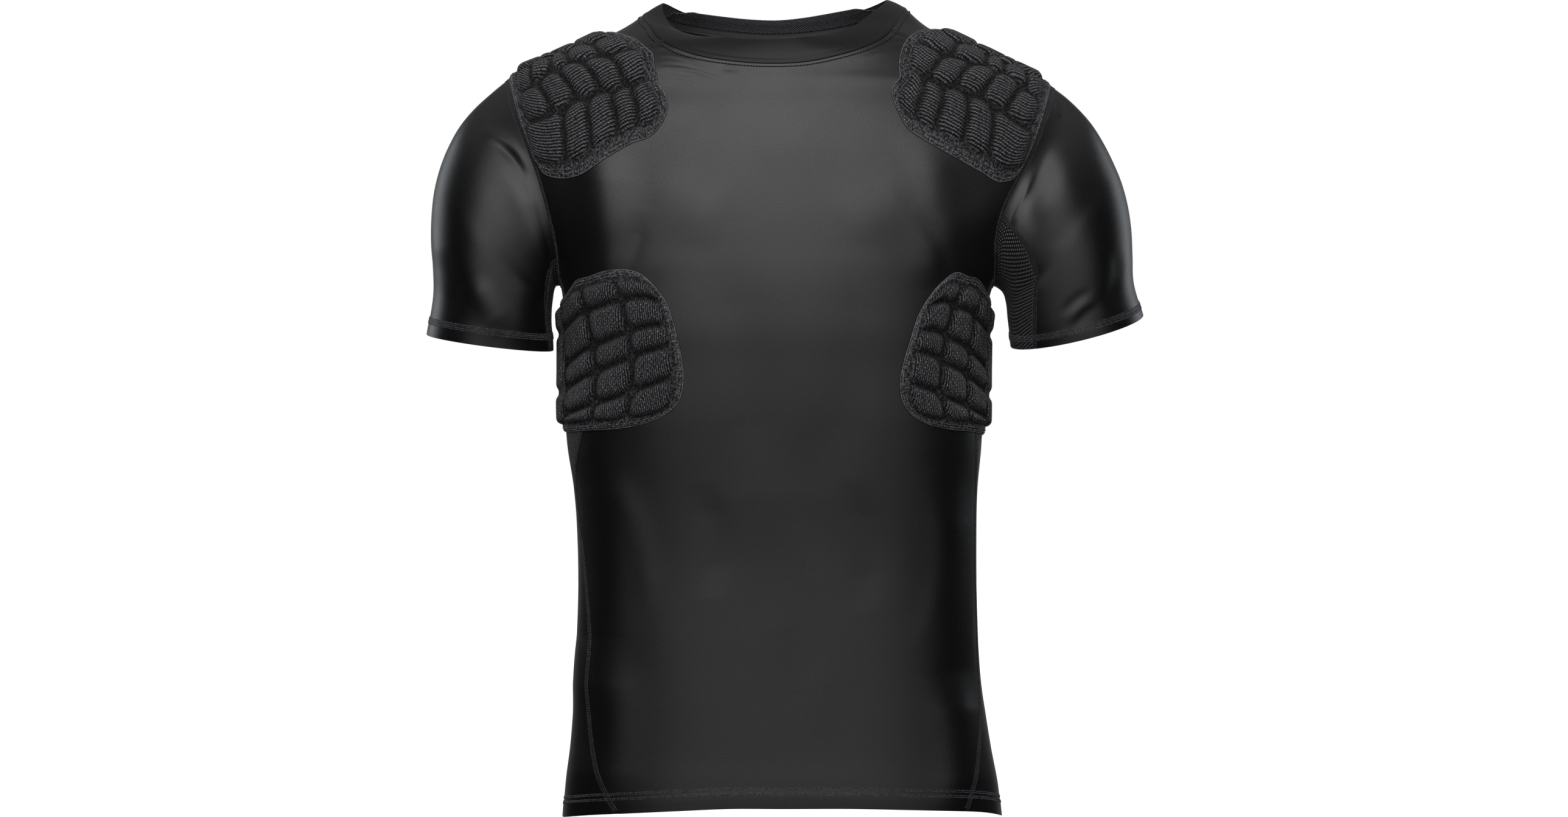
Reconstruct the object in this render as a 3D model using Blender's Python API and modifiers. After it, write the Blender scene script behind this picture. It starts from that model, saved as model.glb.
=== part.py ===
# Padded compression shirt in its worn form: a hollow cloth body with quilted pads on shoulders and ribs.
# The front faces -Y and Z points up. Lengths in the tables are millimetres, heights from the lowest hem.
import bpy
import math
import numpy as np

MM = 0.001
ORIGIN_HEIGHT = 700.0      # height of the wearer's shoulder line, where the shirt rests
CLOTH_WALL = 1.2
COLLAR_WALL = 1.6
TAPE_WALL = 0.7
SEAM_GAP = 0.75            # between two pieces that are sewn edge to edge
ARMHOLE_GAP = 0.8          # wider, since the walls lean together at the top of the armhole
NECK_GAP = 1.0             # the collar leans in from the body, so its walls need more room
GUSSET_GAP = 0.88          # between a sleeve and its gusset, where the rings fan out closely
RIDGE_GAP = 1.05           # along the forward shoulder seam, where the cloth bends over the ridge
PAD_LIFT = 1.15            # from the cloth to the underside of a pad
NECKWARD_LIFT = 1.0        # more of it at the shoulder pads' free edge by the neck
PAD_EDGE = 1.3             # thickness of a pad at its rim
PAD_GROOVE = 1.6           # thickness along the stitched grooves
PILLOW = 5.4               # height of a cell over its grooves
RIDGE = 90.0               # angle of the side line and of the shoulder ridge

# Angles go round the body in degrees: 0 at the front, 90 at the side or the shoulder ridge, 180 at the back.

# One row per level section of the body: height, low_x, high_x, front_y, back_y and squareness, which is
# 2 for an ellipse and more where the section is squarer
BODY = np.array([
    (0, -196, 193, -114, 118, 2.4), (30, -193, 189.5, -113, 118, 2.4),
    (65, -188.5, 182.5, -110, 114, 2.4), (110, -184.7, 175.5, -107, 106, 2.4),
    (150, -182.5, 172, -105, 98, 2.4), (240, -181.4, 169.6, -104, 90, 2.35),
    (292, -184.5, 171, -107, 92, 2.35), (330, -191, 174.5, -110, 96, 2.35),
    (352, -193, 175.5, -112, 98, 2.35), (400, -193, 175.8, -115.5, 104, 2.35),
    (430, -193.2, 176.8, -117.5, 108, 2.4), (450, -194.4, 179.6, -118, 111, 2.4),
    (471, -197.6, 185.4, -118, 113.5, 2.4), (485, -204.3, 193.2, -117.5, 115, 2.4),
    (500, -214.2, 203.8, -116.5, 116.2, 2.35), (530, -238.5, 229, -114, 118, 2.3),
    (562, -260, 252, -110, 118.5, 2.2), (595, -273, 267, -105, 116, 2.1),
    (620, -270, 259, -100, 112, 2.05), (640, -257.8, 245.5, -95, 107, 2.0),
    (647, -252, 238, -93.5, 104.5, 2.0), (653.4, -245, 224.5, -92, 102, 2.0),
    (673, -199.6, 182.7, -88, 95, 2.0), (684, -174, 159.5, -85.5, 90.5, 2.0),
    (696, -147, 133, -82, 84, 2.0), (711.7, -123.7, 112.5, -77, 77, 2.0),
    (717, -119, 107.5, -75, 75, 2.0), (726, -112, 100, -72, 72, 2.0)])

# The neck seam on the body and the collar's upper edge: angle round the neck, height
NECK_SEAM = np.array([
    (-180, 697), (-135, 704), (-90, 711.7), (-70, 705), (-51, 695.3), (-33, 679.3), (-20.8, 668.1),
    (-12.6, 662.7), (-0.4, 658.7), (5.6, 659.4), (18.4, 668.5), (27.6, 677.1), (42.4, 691.5),
    (62, 706), (90, 716.5), (135, 706), (180, 697)])
COLLAR_TOP = np.array([
    (-180, 711.5), (-135, 716), (-90, 719), (-72, 704), (-60, 694), (-45, 686.6), (-20, 681.5),
    (0, 680.4), (15, 682), (31.5, 687.2), (46.7, 696.8), (61.4, 709.5), (90, 723.5), (135, 719),
    (180, 711.5)])
COLLAR_CENTRE = (-8.4, -7.0)
COLLAR_HALF = (100.1, 77.0)
COLLAR_ROLL = 0.9          # how far the middle of the band stands out
TAPE_RISE = (0.5, 1.26)    # lower and upper edge of the neck tape, as shares of the collar's height
NECK_STEPS = 10

# Lower edge of the body: angle, height
HEM = np.array([(-180, 12), (-135, 8), (-90, 1), (-44, 13), (-28, 17.3), (-13, 20.3), (0, 20.4),
                (18, 20.1), (34, 17.7), (53, 13.3), (90, 1.5), (135, 8), (180, 12)])

# Front side seams: height, angle on the side at low x, angle on the side at high x
SIDE_SEAM = np.array([
    (0, 42, 48), (13, 44, 50.5), (28.5, 47.8, 53.5), (72, 55.1, 62.5), (120, 59.4, 74.0),
    (156, 59.8, 77.0), (231, 67.9, 76.0), (296, 73.9, 76.0), (341, 61.5, 70.0), (400, 63, 67),
    (440, 68, 71), (480, 74.5, 75)])
SIDE_STEPS = 12
SIDE_CROWDING = 1.7        # steps lie closer together towards the armpit
SIDE_ACROSS = 6            # steps across the side piece, and under the arm on the gusset
SOLID_SIDE_STEPS = {-1: 5, 1: 6}     # the side piece is plain up to here and mesh above

# The armhole lies in a slanted sheet from the armpit to the ridge: x and height at either end
ARMHOLE_LOW = {-1: (-197.0, 471.0), 1: (184.7, 471.0)}
ARMHOLE_HIGH = {-1: (-245.0, 653.4), 1: (238.0, 647.0)}
# How far it bows in towards the chest: share of the way up, bow at low x, bow at high x
ARMHOLE_BOW = np.array([(0, 0, 0), (0.1, 4, 5), (0.2, 7, 11), (0.35, 8, 13.5), (0.5, 7.5, 9),
                        (0.65, 5, 3.5), (0.8, 1.5, 0.8), (1, 0, 0)])
MESH_TURN = 23.0           # turn round the armhole, from the armpit, that the side mesh takes
ARMHOLE_STEP = 15.7
SHOULDER_SEAM_TURN = MESH_TURN + 8 * ARMHOLE_STEP
SHOULDER_SEAM_NECK = {-1: 33.0, 1: 42.4}
SHOULDER_STEPS = 5

# One row per ring of a sleeve: under_x, under_z, outer_x, outer_z, front_y, back_y, drop of the front
# below the middle, and oval, the share by which the ring has turned from the armhole's form to an oval
SLEEVE = {
    -1: np.array([
        (-202, 470.9, -260.3, 640.4, -66, 70, 0, 0.12), (-203.6, 468.7, -274.9, 626.9, -68, 69.5, 0.2, 0.3),
        (-204.4, 465.5, -287.3, 611.8, -69, 69, 0.4, 0.5), (-204.9, 461.2, -297, 594.5, -69.5, 69, 0.7, 0.7),
        (-205.5, 456.3, -304.6, 575.6, -69.5, 69, 1.0, 0.85), (-206, 450.9, -310, 554, -69, 68.5, 1.4, 1),
        (-206.3, 444.4, -312.4, 531.4, -68, 68, 1.8, 1), (-206.3, 437.4, -312.7, 508.1, -66.5, 67, 2.3, 1),
        (-205.7, 429.8, -311, 485.5, -64.5, 65.5, 2.9, 1), (-205.2, 421.7, -311, 461.2, -62, 63.5, 3.6, 1),
        (-204.9, 413.6, -316.4, 428.2, -59, 61, 4.5, 1)]),
    1: np.array([
        (187.9, 470.3, 250.6, 637.2, -67, 70, 0, 0.12), (191.2, 468.2, 263.5, 624.8, -69, 69.5, 0.4, 0.3),
        (193.9, 465.5, 273.8, 612.4, -70, 69, 0.9, 0.5), (195.5, 462.2, 283.5, 596.7, -70, 69, 1.5, 0.7),
        (196.6, 457.9, 292.1, 579.4, -69.5, 69, 2.3, 0.85), (197.4, 453, 299.2, 562.1, -69, 68.5, 3.2, 1),
        (197.9, 447.7, 304.6, 542.2, -68, 68, 4.2, 1), (198.4, 441.7, 307.8, 520.6, -66.5, 67, 5.3, 1),
        (199.3, 434.2, 308.9, 497.3, -64.5, 65.5, 6.5, 1), (200.3, 425.5, 310, 473.6, -62, 63.5, 7.9, 1),
        (201.4, 416.9, 318.1, 445.5, -59, 61, 9.5, 1)])}
# Steps round the armhole from its mesh corner to the gusset's seam in front and behind, then the turns
# round the cuff at which those two seams end
GUSSET = {-1: (1, 4, 16.0, 66.0), 1: (3, 2, 47.0, 32.0)}

# Outlines of the pads on the cloth: angle from the front, height
SHOULDER_LOWER = {
    -1: np.array([(49.7, 564.6), (45.1, 560.6), (40.4, 562.6), (32.8, 578.4), (28.2, 589.2),
                  (24.1, 595.9), (21.8, 606.9)]),
    1: np.array([(50.1, 560.9), (46.1, 557.8), (41.0, 565.3), (32.8, 579.4), (27.3, 591.2),
                 (23.8, 602.7), (22.6, 619.1)])}
SHOULDER_NECKWARD = {
    -1: np.array([(21.8, 606.9), (20.8, 619.1), (21.9, 632.5), (24.3, 642.9), (25.2, 653.2),
                  (29.5, 665.8), (36.6, 674.9), (44.0, 681.6), (53.9, 686.7), (68.9, 691.3), (90, 693.5)]),
    1: np.array([(22.6, 619.1), (22.8, 636.8), (27.4, 652.1), (31.4, 664.8), (36.0, 674.5),
                 (41.5, 681.9), (52.8, 689.7), (71.8, 694.7), (90, 696.5)])}
SHOULDER_START = {-1: 103.0, 1: 99.0}      # turn round the armhole where the pad's lower corner lies
SHOULDER_INSET = 3.0                       # from the armhole seam to the pad's edge
RIB_FRONT = {
    -1: np.array([(27.3, 361), (25.7, 364.9), (24.3, 375.6), (23.9, 386.2), (24.5, 407.5),
                  (26.2, 430.9), (29.1, 456.3), (31, 464)]),
    1: np.array([(38.5, 354.5), (36.3, 360.8), (34.5, 370.3), (34, 384.2), (34.8, 399),
                 (36.7, 420.3), (39.1, 446), (42.5, 464)])}
RIB_LOWER = {
    -1: np.array([(27.3, 361), (28.6, 357.6), (34.1, 350.1), (42.1, 345.2), (53.1, 343.5), (81, 341.5),
                  (90, 341.5)]),
    1: np.array([(38.5, 354.5), (43.9, 347.9), (49.8, 344.6), (61.8, 342.3), (80, 339.5), (90, 338.6)])}
RIB_UPPER = {
    -1: np.array([(31, 464), (32.8, 471.3), (35.5, 478.9), (39.3, 481.7), (43.4, 481.4), (51.9, 476.5),
                  (58.2, 474), (64, 467), (70, 461.5), (80, 458), (90, 457)]),
    1: np.array([(42.5, 464), (44.6, 471.8), (47.7, 479.5), (54, 476.5), (58, 475.5), (64, 470),
                 (70, 464), (80, 459.5), (90, 458)])}

# Strips of cells across a shoulder pad from its lower front edge to the ridge: width of the strip, and
# the grooves across it in twentieths of the pad
SHOULDER_STRIPS = [
    (32, (0, 6, 10, 14, 17, 20)),
    (27, (0, 4, 8, 12, 16, 20)),
    (24, (0, 3, 7, 10, 15, 20)),
    (21, (0, 5, 9, 14, 20)),
    (32, (0, 7, 13, 20))]
SHOULDER_BORDER = (9.5, 9.0)       # flat border along the strips' ends and along the outermost strips
SHOULDER_LENGTH = 112.0
PAD_EASE = 0.36                    # share of the pad over which its lower edge's curve dies away
# Blocks of cells of a rib pad from its front edge to the side line: width, steps. The block over the
# side line follows, and how strongly the strips fan out towards it
RIB_BLOCKS = [(34, 5), (29, 4), (33, 4)]
RIB_SIDE_BLOCK = (58, 6)
RIB_FAN = 2.0
RIB_STRIPS = (0.0, 0.28, 0.52, 0.68, 0.87, 1.0)
RIB_SIDE_CELLS = (0, 2, 4, 5)      # strips that the cells over the side line run across
RIB_BORDER = (8.5, 8.5)
RIB_HEIGHT = 125.0
RIB_BACK_TOP = 465.0


def read(rows, at, column=1):
    """Value of a table's column at a place in its first column, rounded smoothly between the rows"""
    place, value = rows[:, 0], rows[:, column]
    at = np.clip(np.asarray(at, float), place[0], place[-1])
    slope = np.gradient(value, place)
    row = np.clip(np.searchsorted(place, at, side="right") - 1, 0, len(place) - 2)
    gap = place[row + 1] - place[row]
    t = (at - place[row]) / gap
    return ((2 * t**3 - 3 * t**2 + 1) * value[row] + (t**3 - 2 * t**2 + t) * gap * slope[row]
            + (3 * t**2 - 2 * t**3) * value[row + 1] + (t**3 - t**2) * gap * slope[row + 1])


def section(height):
    """Centre, half sizes and squareness of the body's level section at a height"""
    low, high, front, back, square = (read(BODY, height, c) for c in range(1, 6))
    return (low + high) / 2, (high - low) / 2, (front + back) / 2, (back - front) / 2, square


def body(angle, height):
    """Point of the body's outer face"""
    centre_x, half_x, centre_y, half_y, square = section(height)
    s, c = np.sin(np.radians(angle)), np.cos(np.radians(angle))
    r = (np.abs(s)**square + np.abs(c)**square)**(-1 / square)
    return np.stack([centre_x + half_x * r * s, centre_y - half_y * r * c,
                     np.asarray(height, float) + 0 * r], -1)


def body_normal(angle, height):
    """Direction out of the body's face"""
    round_way = body(angle + 0.3, height) - body(angle - 0.3, height)
    up_way = body(angle, height + 0.5) - body(angle, height - 0.5)
    normal = np.cross(round_way, up_way)
    return normal / np.linalg.norm(normal, axis=-1, keepdims=True)


def raised(angle, height, out):
    """Point at a distance out of the body's face"""
    return body(angle, height) + body_normal(angle, height) * np.asarray(out)[..., None]


def angle_at(x, height):
    """Angle from the front at which the body's section reaches a distance to the side"""
    centre_x, half_x, _, _, square = section(height)
    q = np.clip(np.abs(x - centre_x) / half_x, 0, 1)
    return np.degrees(np.arctan2(q, (1 - q**square)**(1 / square)))


def armhole(side, turn, inset=0.0):
    """Angle and height on the body of the armhole's seam; turn 0 is the armpit, 180 the ridge"""
    share = (1 - np.cos(np.radians(turn))) / 2
    (low_x, low_z), (high_x, high_z) = ARMHOLE_LOW[side], ARMHOLE_HIGH[side]
    height = low_z + (high_z - low_z) * share
    bow = read(ARMHOLE_BOW, share, 1 if side < 0 else 2)
    x = low_x + (high_x - low_x) * share - side * (bow + inset)
    angle = angle_at(x, height)
    at_end = (np.abs(np.mod(turn, 180.0)) < 1e-6) & (inset == 0)
    angle = np.where(at_end, RIDGE, angle)
    return np.stack([np.where(np.mod(turn, 360.0) > 180, 180 - angle, angle), height], -1)


def ridge_height(side, x):
    """Height of the shoulder ridge at a distance to the side"""
    height = np.linspace(ARMHOLE_HIGH[side][1] - 10, 720, 300)
    reach = side * body(np.full(300, side * RIDGE), height)[:, 0]
    return float(np.interp(-side * x, -reach, height))


def around(start, stop, steps):
    return np.linspace(start, stop, steps + 1)


def side_seam(side):
    """Angles and heights of a front side seam from the hem to the armhole"""
    top = armhole(side, np.array([MESH_TURN]))[0]
    low_angle = 44.0 if side < 0 else 51.0
    low = read(HEM, side * low_angle)
    share = 1 - (1 - around(0, 1, SIDE_STEPS))**SIDE_CROWDING
    height = low + (top[1] - low) * share
    angle = read(SIDE_SEAM, height, 1 if side < 0 else 2)
    ease = np.clip((height - 400) / (top[1] - 400), 0, 1)**2
    return np.stack([angle + ease * (top[0] - angle), height], -1)


def flip(line):
    """The same line on the back of the body"""
    return np.stack([180 - line[:, 0], line[:, 1]], -1)


def to_side(side, line):
    """Angles counted from the front, turned to the side they are on"""
    return np.stack([side * line[:, 0], line[:, 1]], -1)


def patch(bottom, top, left, right):
    """Places inside four border lines, worked out from the borders"""
    u = np.linspace(0, 1, len(bottom))[None, :, None]
    v = np.linspace(0, 1, len(left))[:, None, None]
    across = (1 - u) * left[:, None] + u * right[:, None]
    upward = (1 - v) * bottom[None] + v * top[None]
    corners = ((1 - u) * (1 - v) * bottom[0] + u * (1 - v) * bottom[-1]
               + (1 - u) * v * top[0] + u * v * top[-1])
    return across + upward - corners


def panel_patch(bottom, top, left, right):
    """Places inside a large panel; every row runs evenly from its left to its right border"""
    across = np.linspace(0, 1, len(bottom))[None]
    up = np.linspace(0, 1, len(left))[:, None]
    upper = ((top[:, 0] - top[0, 0]) / (top[-1, 0] - top[0, 0]))[None]
    share = across + (upper - across) * up**4
    places = patch(bottom, top, left, right)
    places[..., 0] = left[:, None, 0] + (right - left)[:, None, 0] * share
    return places


def pull(points, edge, distance):
    """Move one edge of a grid of points in towards its neighbours, square to the edge"""
    grid = points if edge in ("bottom", "top") else points.swapaxes(0, 1)
    rim, inner = (0, 1) if edge in ("bottom", "left") else (-1, -2)
    along = np.gradient(grid[rim], axis=0)
    along /= np.linalg.norm(along, axis=-1, keepdims=True)
    way = grid[inner] - grid[rim]
    way -= along * np.sum(way * along, axis=-1, keepdims=True)
    grid[rim] += way / np.linalg.norm(way, axis=-1, keepdims=True) * distance


def place(points):
    """From table millimetres to metres from the origin"""
    return (np.asarray(points) - (0, 0, ORIGIN_HEIGHT)) * MM


def spread(line, shares):
    """Places along a line of angles and heights, at shares of its length on the body"""
    steps = np.linalg.norm(np.diff(body(line[:, 0], line[:, 1]), axis=0), axis=1)
    length = np.concatenate([[0], np.cumsum(steps)]) / steps.sum()
    shares = np.asarray(shares, float)
    return np.stack([read(np.stack([length, line[:, i]], -1), shares) for i in (0, 1)], -1)


def mesh_object(name, points, faces, collection, material):
    mesh = bpy.data.meshes.new(name)
    mesh.from_pydata([tuple(p) for p in points], [], faces)
    mesh.update()
    obj = bpy.data.objects.new(name, mesh)
    mesh.materials.append(material)
    collection.objects.link(obj)
    return obj


def cloth(name, grids, wall, collection, material, closed=False):
    """Cloth of one thickness whose outer face runs through one or more grids of points"""
    points, faces, known = [], [], {}
    for grid in grids:
        rows, columns = grid.shape[:2]
        index = np.empty((rows, columns), int)
        for r in range(rows):
            for c in range(columns):
                key = tuple(np.round(grid[r, c], 4))
                if key not in known:
                    known[key] = len(points)
                    points.append(place(grid[r, c]))
                index[r, c] = known[key]
        for r in range(rows - 1):
            for c in range(columns - 1):
                face = (index[r, c], index[r, c + 1], index[r + 1, c + 1], index[r + 1, c])
                kept = tuple(dict.fromkeys(int(i) for i in face))
                if len(kept) > 2:
                    faces.append(kept)
        if closed:
            for r in range(rows - 1):
                faces.append(tuple(int(i) for i in (index[r, -1], index[r, 0],
                                                    index[r + 1, 0], index[r + 1, -1])))
    obj = mesh_object(name, points, faces, collection, material)
    solid = obj.modifiers.new("wall", "SOLIDIFY")
    solid.thickness = wall * MM
    solid.offset = -1
    solid.use_rim = True
    return obj


def front_panel(collection, material):
    seams = {side: to_side(side, side_seam(side)) for side in (-1, 1)}
    turns = around(MESH_TURN, SHOULDER_SEAM_TURN, 8)
    left, right = (np.concatenate([seams[side], to_side(side, armhole(side, turns))[1:]])
                   for side in (-1, 1))
    neck_angle = around(-SHOULDER_SEAM_NECK[-1], SHOULDER_SEAM_NECK[1], NECK_STEPS)
    neck = np.stack([neck_angle, read(NECK_SEAM, neck_angle)], -1)
    top = np.concatenate([shoulder_seam(-1)[:-1], neck, shoulder_seam(1)[::-1][1:]])
    hem_angle = around(left[0, 0], right[0, 0], len(top) - 1)
    bottom = np.stack([hem_angle, read(HEM, hem_angle)], -1)
    bottom[0], bottom[-1] = left[0], right[0]
    inside = panel_patch(bottom, top, left, right)
    points = body(inside[..., 0], inside[..., 1])
    gap = np.full(len(top), SEAM_GAP)
    gap[:SHOULDER_STEPS + 1] = gap[-SHOULDER_STEPS - 1:] = RIDGE_GAP
    pull(points, "top", gap[:, None] / 2)
    for edge in ("left", "right"):
        pull(points, edge, SEAM_GAP / 2)
    return cloth("front_panel", [points], CLOTH_WALL, collection, material)


def shoulder_seam(side):
    """Forward shoulder seam from the armhole to the neck"""
    low = armhole(side, np.array([SHOULDER_SEAM_TURN]))[0]
    angle = SHOULDER_SEAM_NECK[side]
    high = np.array([angle, read(NECK_SEAM, side * angle)])
    line = to_side(side, low + (high - low) * np.linspace(0, 1, 40)[:, None])
    return spread(line, around(0, 1, SHOULDER_STEPS))


def ridge_steps(side):
    """Heights of even steps along the shoulder ridge"""
    height = np.linspace(ARMHOLE_HIGH[side][1], float(read(NECK_SEAM, side * RIDGE)), 40)
    line = np.stack([np.full(40, side * RIDGE), height], -1)
    return spread(line, around(0, 1, SHOULDER_STEPS))[:, 1]


def ridge_line(side):
    """Points of the shoulder ridge from the armhole to the neck"""
    height = ridge_steps(side)
    points = body(np.full(len(height), side * RIDGE), height)
    for end, inner in ((0, 1), (-1, -2)):
        way = points[inner] - points[end]
        points[end] += way / np.linalg.norm(way) * SEAM_GAP / 2
    return points


def back_panel(collection, material):
    turns = around(360 - MESH_TURN, 180, 10)
    sides = {}
    for side in (-1, 1):
        line = np.concatenate([flip(side_seam(side)), armhole(side, turns)[1:]])
        line = to_side(side, line)
        sides[side] = np.stack([np.mod(line[:, 0], 360), line[:, 1]], -1)
    neck_angle = around(RIDGE, 360 - RIDGE, NECK_STEPS)
    signed = np.where(neck_angle > 180, neck_angle - 360, neck_angle)
    neck = np.stack([neck_angle, read(NECK_SEAM, signed)], -1)
    ridge = {}
    for side, angle in ((1, RIDGE), (-1, 360 - RIDGE)):
        height = ridge_steps(side)
        ridge[side] = np.stack([np.full(len(height), angle), height], -1)
    top = np.concatenate([ridge[1][:-1], neck, ridge[-1][::-1][1:]])
    hem_angle = around(sides[1][0, 0], sides[-1][0, 0], len(top) - 1)
    signed = np.where(hem_angle > 180, hem_angle - 360, hem_angle)
    bottom = np.stack([hem_angle, read(HEM, signed)], -1)
    bottom[0], bottom[-1] = sides[1][0], sides[-1][0]
    inside = panel_patch(bottom, top, sides[1], sides[-1])
    points = body(inside[..., 0], inside[..., 1])
    pull(points, "top", SEAM_GAP / 2)
    for edge in ("left", "right"):
        pull(points, edge, SEAM_GAP / 2)
    points[-1, :SHOULDER_STEPS + 1] = ridge_line(1)
    points[-1, -SHOULDER_STEPS - 1:] = ridge_line(-1)[::-1]
    grids = [points]
    for side in (-1, 1):
        grids.append(front_wedge(side))
    return cloth("back_panel", grids, CLOTH_WALL, collection, material)


def front_wedge(side):
    """The narrow part of the back panel that comes over the ridge to the forward shoulder seam"""
    turns = around(180, SHOULDER_SEAM_TURN, 2)
    outer = to_side(side, armhole(side, turns))
    neck_angle = around(RIDGE, SHOULDER_SEAM_NECK[side], 2) * side
    inner = np.stack([neck_angle, read(NECK_SEAM, neck_angle)], -1)
    height = ridge_steps(side)
    ridge = np.stack([np.full(len(height), side * RIDGE), height], -1)
    inside = patch(ridge, shoulder_seam(side), outer, inner)
    points = body(inside[..., 0], inside[..., 1])
    for edge, gap in (("top", RIDGE_GAP), ("left", SEAM_GAP), ("right", SEAM_GAP)):
        pull(points, edge, gap / 2)
    points[0] = ridge_line(side)
    return points if side > 0 else points[:, ::-1]


def side_piece(side, name, first, last, collection, material):
    """The piece between the front and back side seams, over some of the seam's steps"""
    front = side_seam(side)[first:last + 1]
    back = flip(front)
    steps = SIDE_ACROSS
    if first == 0:
        angle = around(front[0, 0], back[0, 0], steps)
        low = np.stack([angle, read(HEM, side * angle)], -1)
        low[0], low[-1] = front[0], back[0]
    else:
        low = np.linspace(front[0], back[0], steps + 1)
    high = np.linspace(front[-1], back[-1], steps + 1)
    if last == SIDE_STEPS:
        high = armhole(side, around(MESH_TURN, -MESH_TURN, steps))
    inside = patch(low, high, front, back)
    points = body(side * inside[..., 0], inside[..., 1])
    for edge in ("left", "right") + (("bottom",) if first else ("top",)):
        pull(points, edge, SEAM_GAP / 2)
    if last == SIDE_STEPS:
        pull(points, "top", SEAM_GAP / 2)
    return cloth(name, [points if side > 0 else points[:, ::-1]], CLOTH_WALL, collection, material)


def sleeve_rings(side, turns, cuff_turns):
    """Points of the sleeve's outer face, a row per ring from the armhole to the cuff"""
    start = armhole(side, turns)
    first = body(side * start[:, 0], start[:, 1])
    (low_x, low_z), (high_x, high_z) = ARMHOLE_LOW[side], ARMHOLE_HIGH[side]
    share = (1 - np.cos(np.radians(turns))) / 2
    off_x = first[:, 0] - (low_x + (high_x - low_x) * share)
    whole = armhole(side, np.linspace(0, 359, 120))
    depths = body(whole[:, 0], whole[:, 1])[:, 1]
    front_most, back_most = depths.min(), depths.max()
    middle = (front_most + back_most) / 2
    reach = (back_most - front_most) / 2
    shape = (first[:, 1] - middle) / reach
    rings = [first + (side * ARMHOLE_GAP / 2, 0, 0)]
    table = SLEEVE[side]
    for number, row in enumerate(table):
        under_x, under_z, outer_x, outer_z, front, back, drop, oval = row
        done = (number + 1) / len(table)
        turn = turns + (cuff_turns - turns) * done
        share = (1 - np.cos(np.radians(turn))) / 2
        sine = np.sin(np.radians(turn))
        depth = (1 - oval) * np.where(shape < 0, -shape * front, shape * back) \
            + oval * np.where(sine > 0, sine * front, -sine * back)
        x = under_x + (outer_x - under_x) * share + off_x * (1 - oval)
        z = under_z + (outer_z - under_z) * share - drop * sine
        rings.append(np.stack([x, depth, z], -1))
    return np.array(rings)


def ring_turns(side):
    """Turns round the armhole where the pieces share corners, and where they lie at the cuff"""
    front_step, back_step, front_cuff, back_cuff = GUSSET[side]
    front = MESH_TURN + front_step * ARMHOLE_STEP
    back = MESH_TURN + back_step * ARMHOLE_STEP
    top = around(MESH_TURN, 180, 10)
    sleeve = np.concatenate([top[front_step:], 360 - top[back_step:][::-1][1:]])
    to_cuff = np.interp(sleeve, [front, 180, 360 - back], [front_cuff, 180, 360 - back_cuff])
    under = np.concatenate([-top[:back_step + 1][::-1], around(-MESH_TURN, MESH_TURN, SIDE_ACROSS)[1:],
                            top[1:front_step + 1]])
    under_cuff = np.interp(under, [-back, 0, front], [-back_cuff, 0, front_cuff])
    return sleeve, to_cuff, under, under_cuff


def sleeve_pieces(side, word, collection, sleeve_material, gusset_material):
    sleeve, sleeve_cuff, under, under_cuff = ring_turns(side)
    for name, turns, cuff, material in (("sleeve_" + word, sleeve, sleeve_cuff, sleeve_material),
                                        ("sleeve_gusset_" + word, under, under_cuff, gusset_material)):
        full = np.mod(turns, 360)
        points = sleeve_rings(side, full, full + (cuff - turns))
        for edge in ("left", "right"):
            pull(points, edge, GUSSET_GAP / 2)
        cloth(name, [points if side < 0 else points[:, ::-1]], CLOTH_WALL, collection, material)


def collar_angles():
    """Angles of the neck seam's corners, shared with the front and back panels"""
    left, right = SHOULDER_SEAM_NECK[-1], SHOULDER_SEAM_NECK[1]
    return np.concatenate([around(-left, right, NECK_STEPS)[:-1], around(right, RIDGE, 2)[:-1],
                           around(RIDGE, 360 - RIDGE, NECK_STEPS)[:-1],
                           around(360 - RIDGE, 360 - left, 2)[:-1]])


def collar_points(angle, share, out):
    """Points of the collar's outer face at shares of its height, moved out by a distance"""
    signed = np.where(angle > 180, angle - 360, angle)
    low = body(signed, read(NECK_SEAM, signed))
    s, c = np.sin(np.radians(signed)), np.cos(np.radians(signed))
    high = np.stack([COLLAR_CENTRE[0] + COLLAR_HALF[0] * s, COLLAR_CENTRE[1] - COLLAR_HALF[1] * c,
                     read(COLLAR_TOP, signed)], -1)
    up = high - low
    along = np.stack([c, s * 0.9, 0 * s], -1)
    normal = np.cross(along, up)
    normal /= np.linalg.norm(normal, axis=-1, keepdims=True)
    share = np.asarray(share, float)[..., None]
    roll = COLLAR_ROLL * 4 * np.clip(share, 0, 1) * (1 - np.clip(share, 0, 1))
    return low + up * share + normal * (roll + out)


def collar(collection, material):
    angle = collar_angles()
    points = np.array([collar_points(angle, np.full(len(angle), share), 0.0) for share in (0, 0.5, 1)])
    pull(points, "bottom", NECK_GAP - SEAM_GAP / 2)
    return cloth("collar", [points], COLLAR_WALL, collection, material, closed=True)


def neck_tape(collection, material):
    angle = collar_angles()
    angle = angle[(angle > 110) & (angle < 250)]
    inward = -(COLLAR_WALL + 0.75)
    points = np.array([collar_points(angle, np.full(len(angle), share), inward)
                       for share in np.linspace(*TAPE_RISE, 3)])
    return cloth("neck_tape", [points], TAPE_WALL, collection, material)


def cell_rise(phase_a, phase_b):
    """Height of a padded cell over its grooves, with phases 0 to 1 across it"""
    rise = (1 - np.abs(2 * phase_a - 1)**3.2) * (1 - np.abs(2 * phase_b - 1)**3.2)
    return PILLOW * np.clip(rise, 0, 1)**0.8


def phases(steps, cuts):
    """Phase of each step inside the cell between two cuts"""
    cell = np.clip(np.searchsorted(cuts, steps, side="right") - 1, 0, len(cuts) - 2)
    cuts = np.asarray(cuts, float)
    return (steps - cuts[cell]) / (cuts[cell + 1] - cuts[cell])


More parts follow.
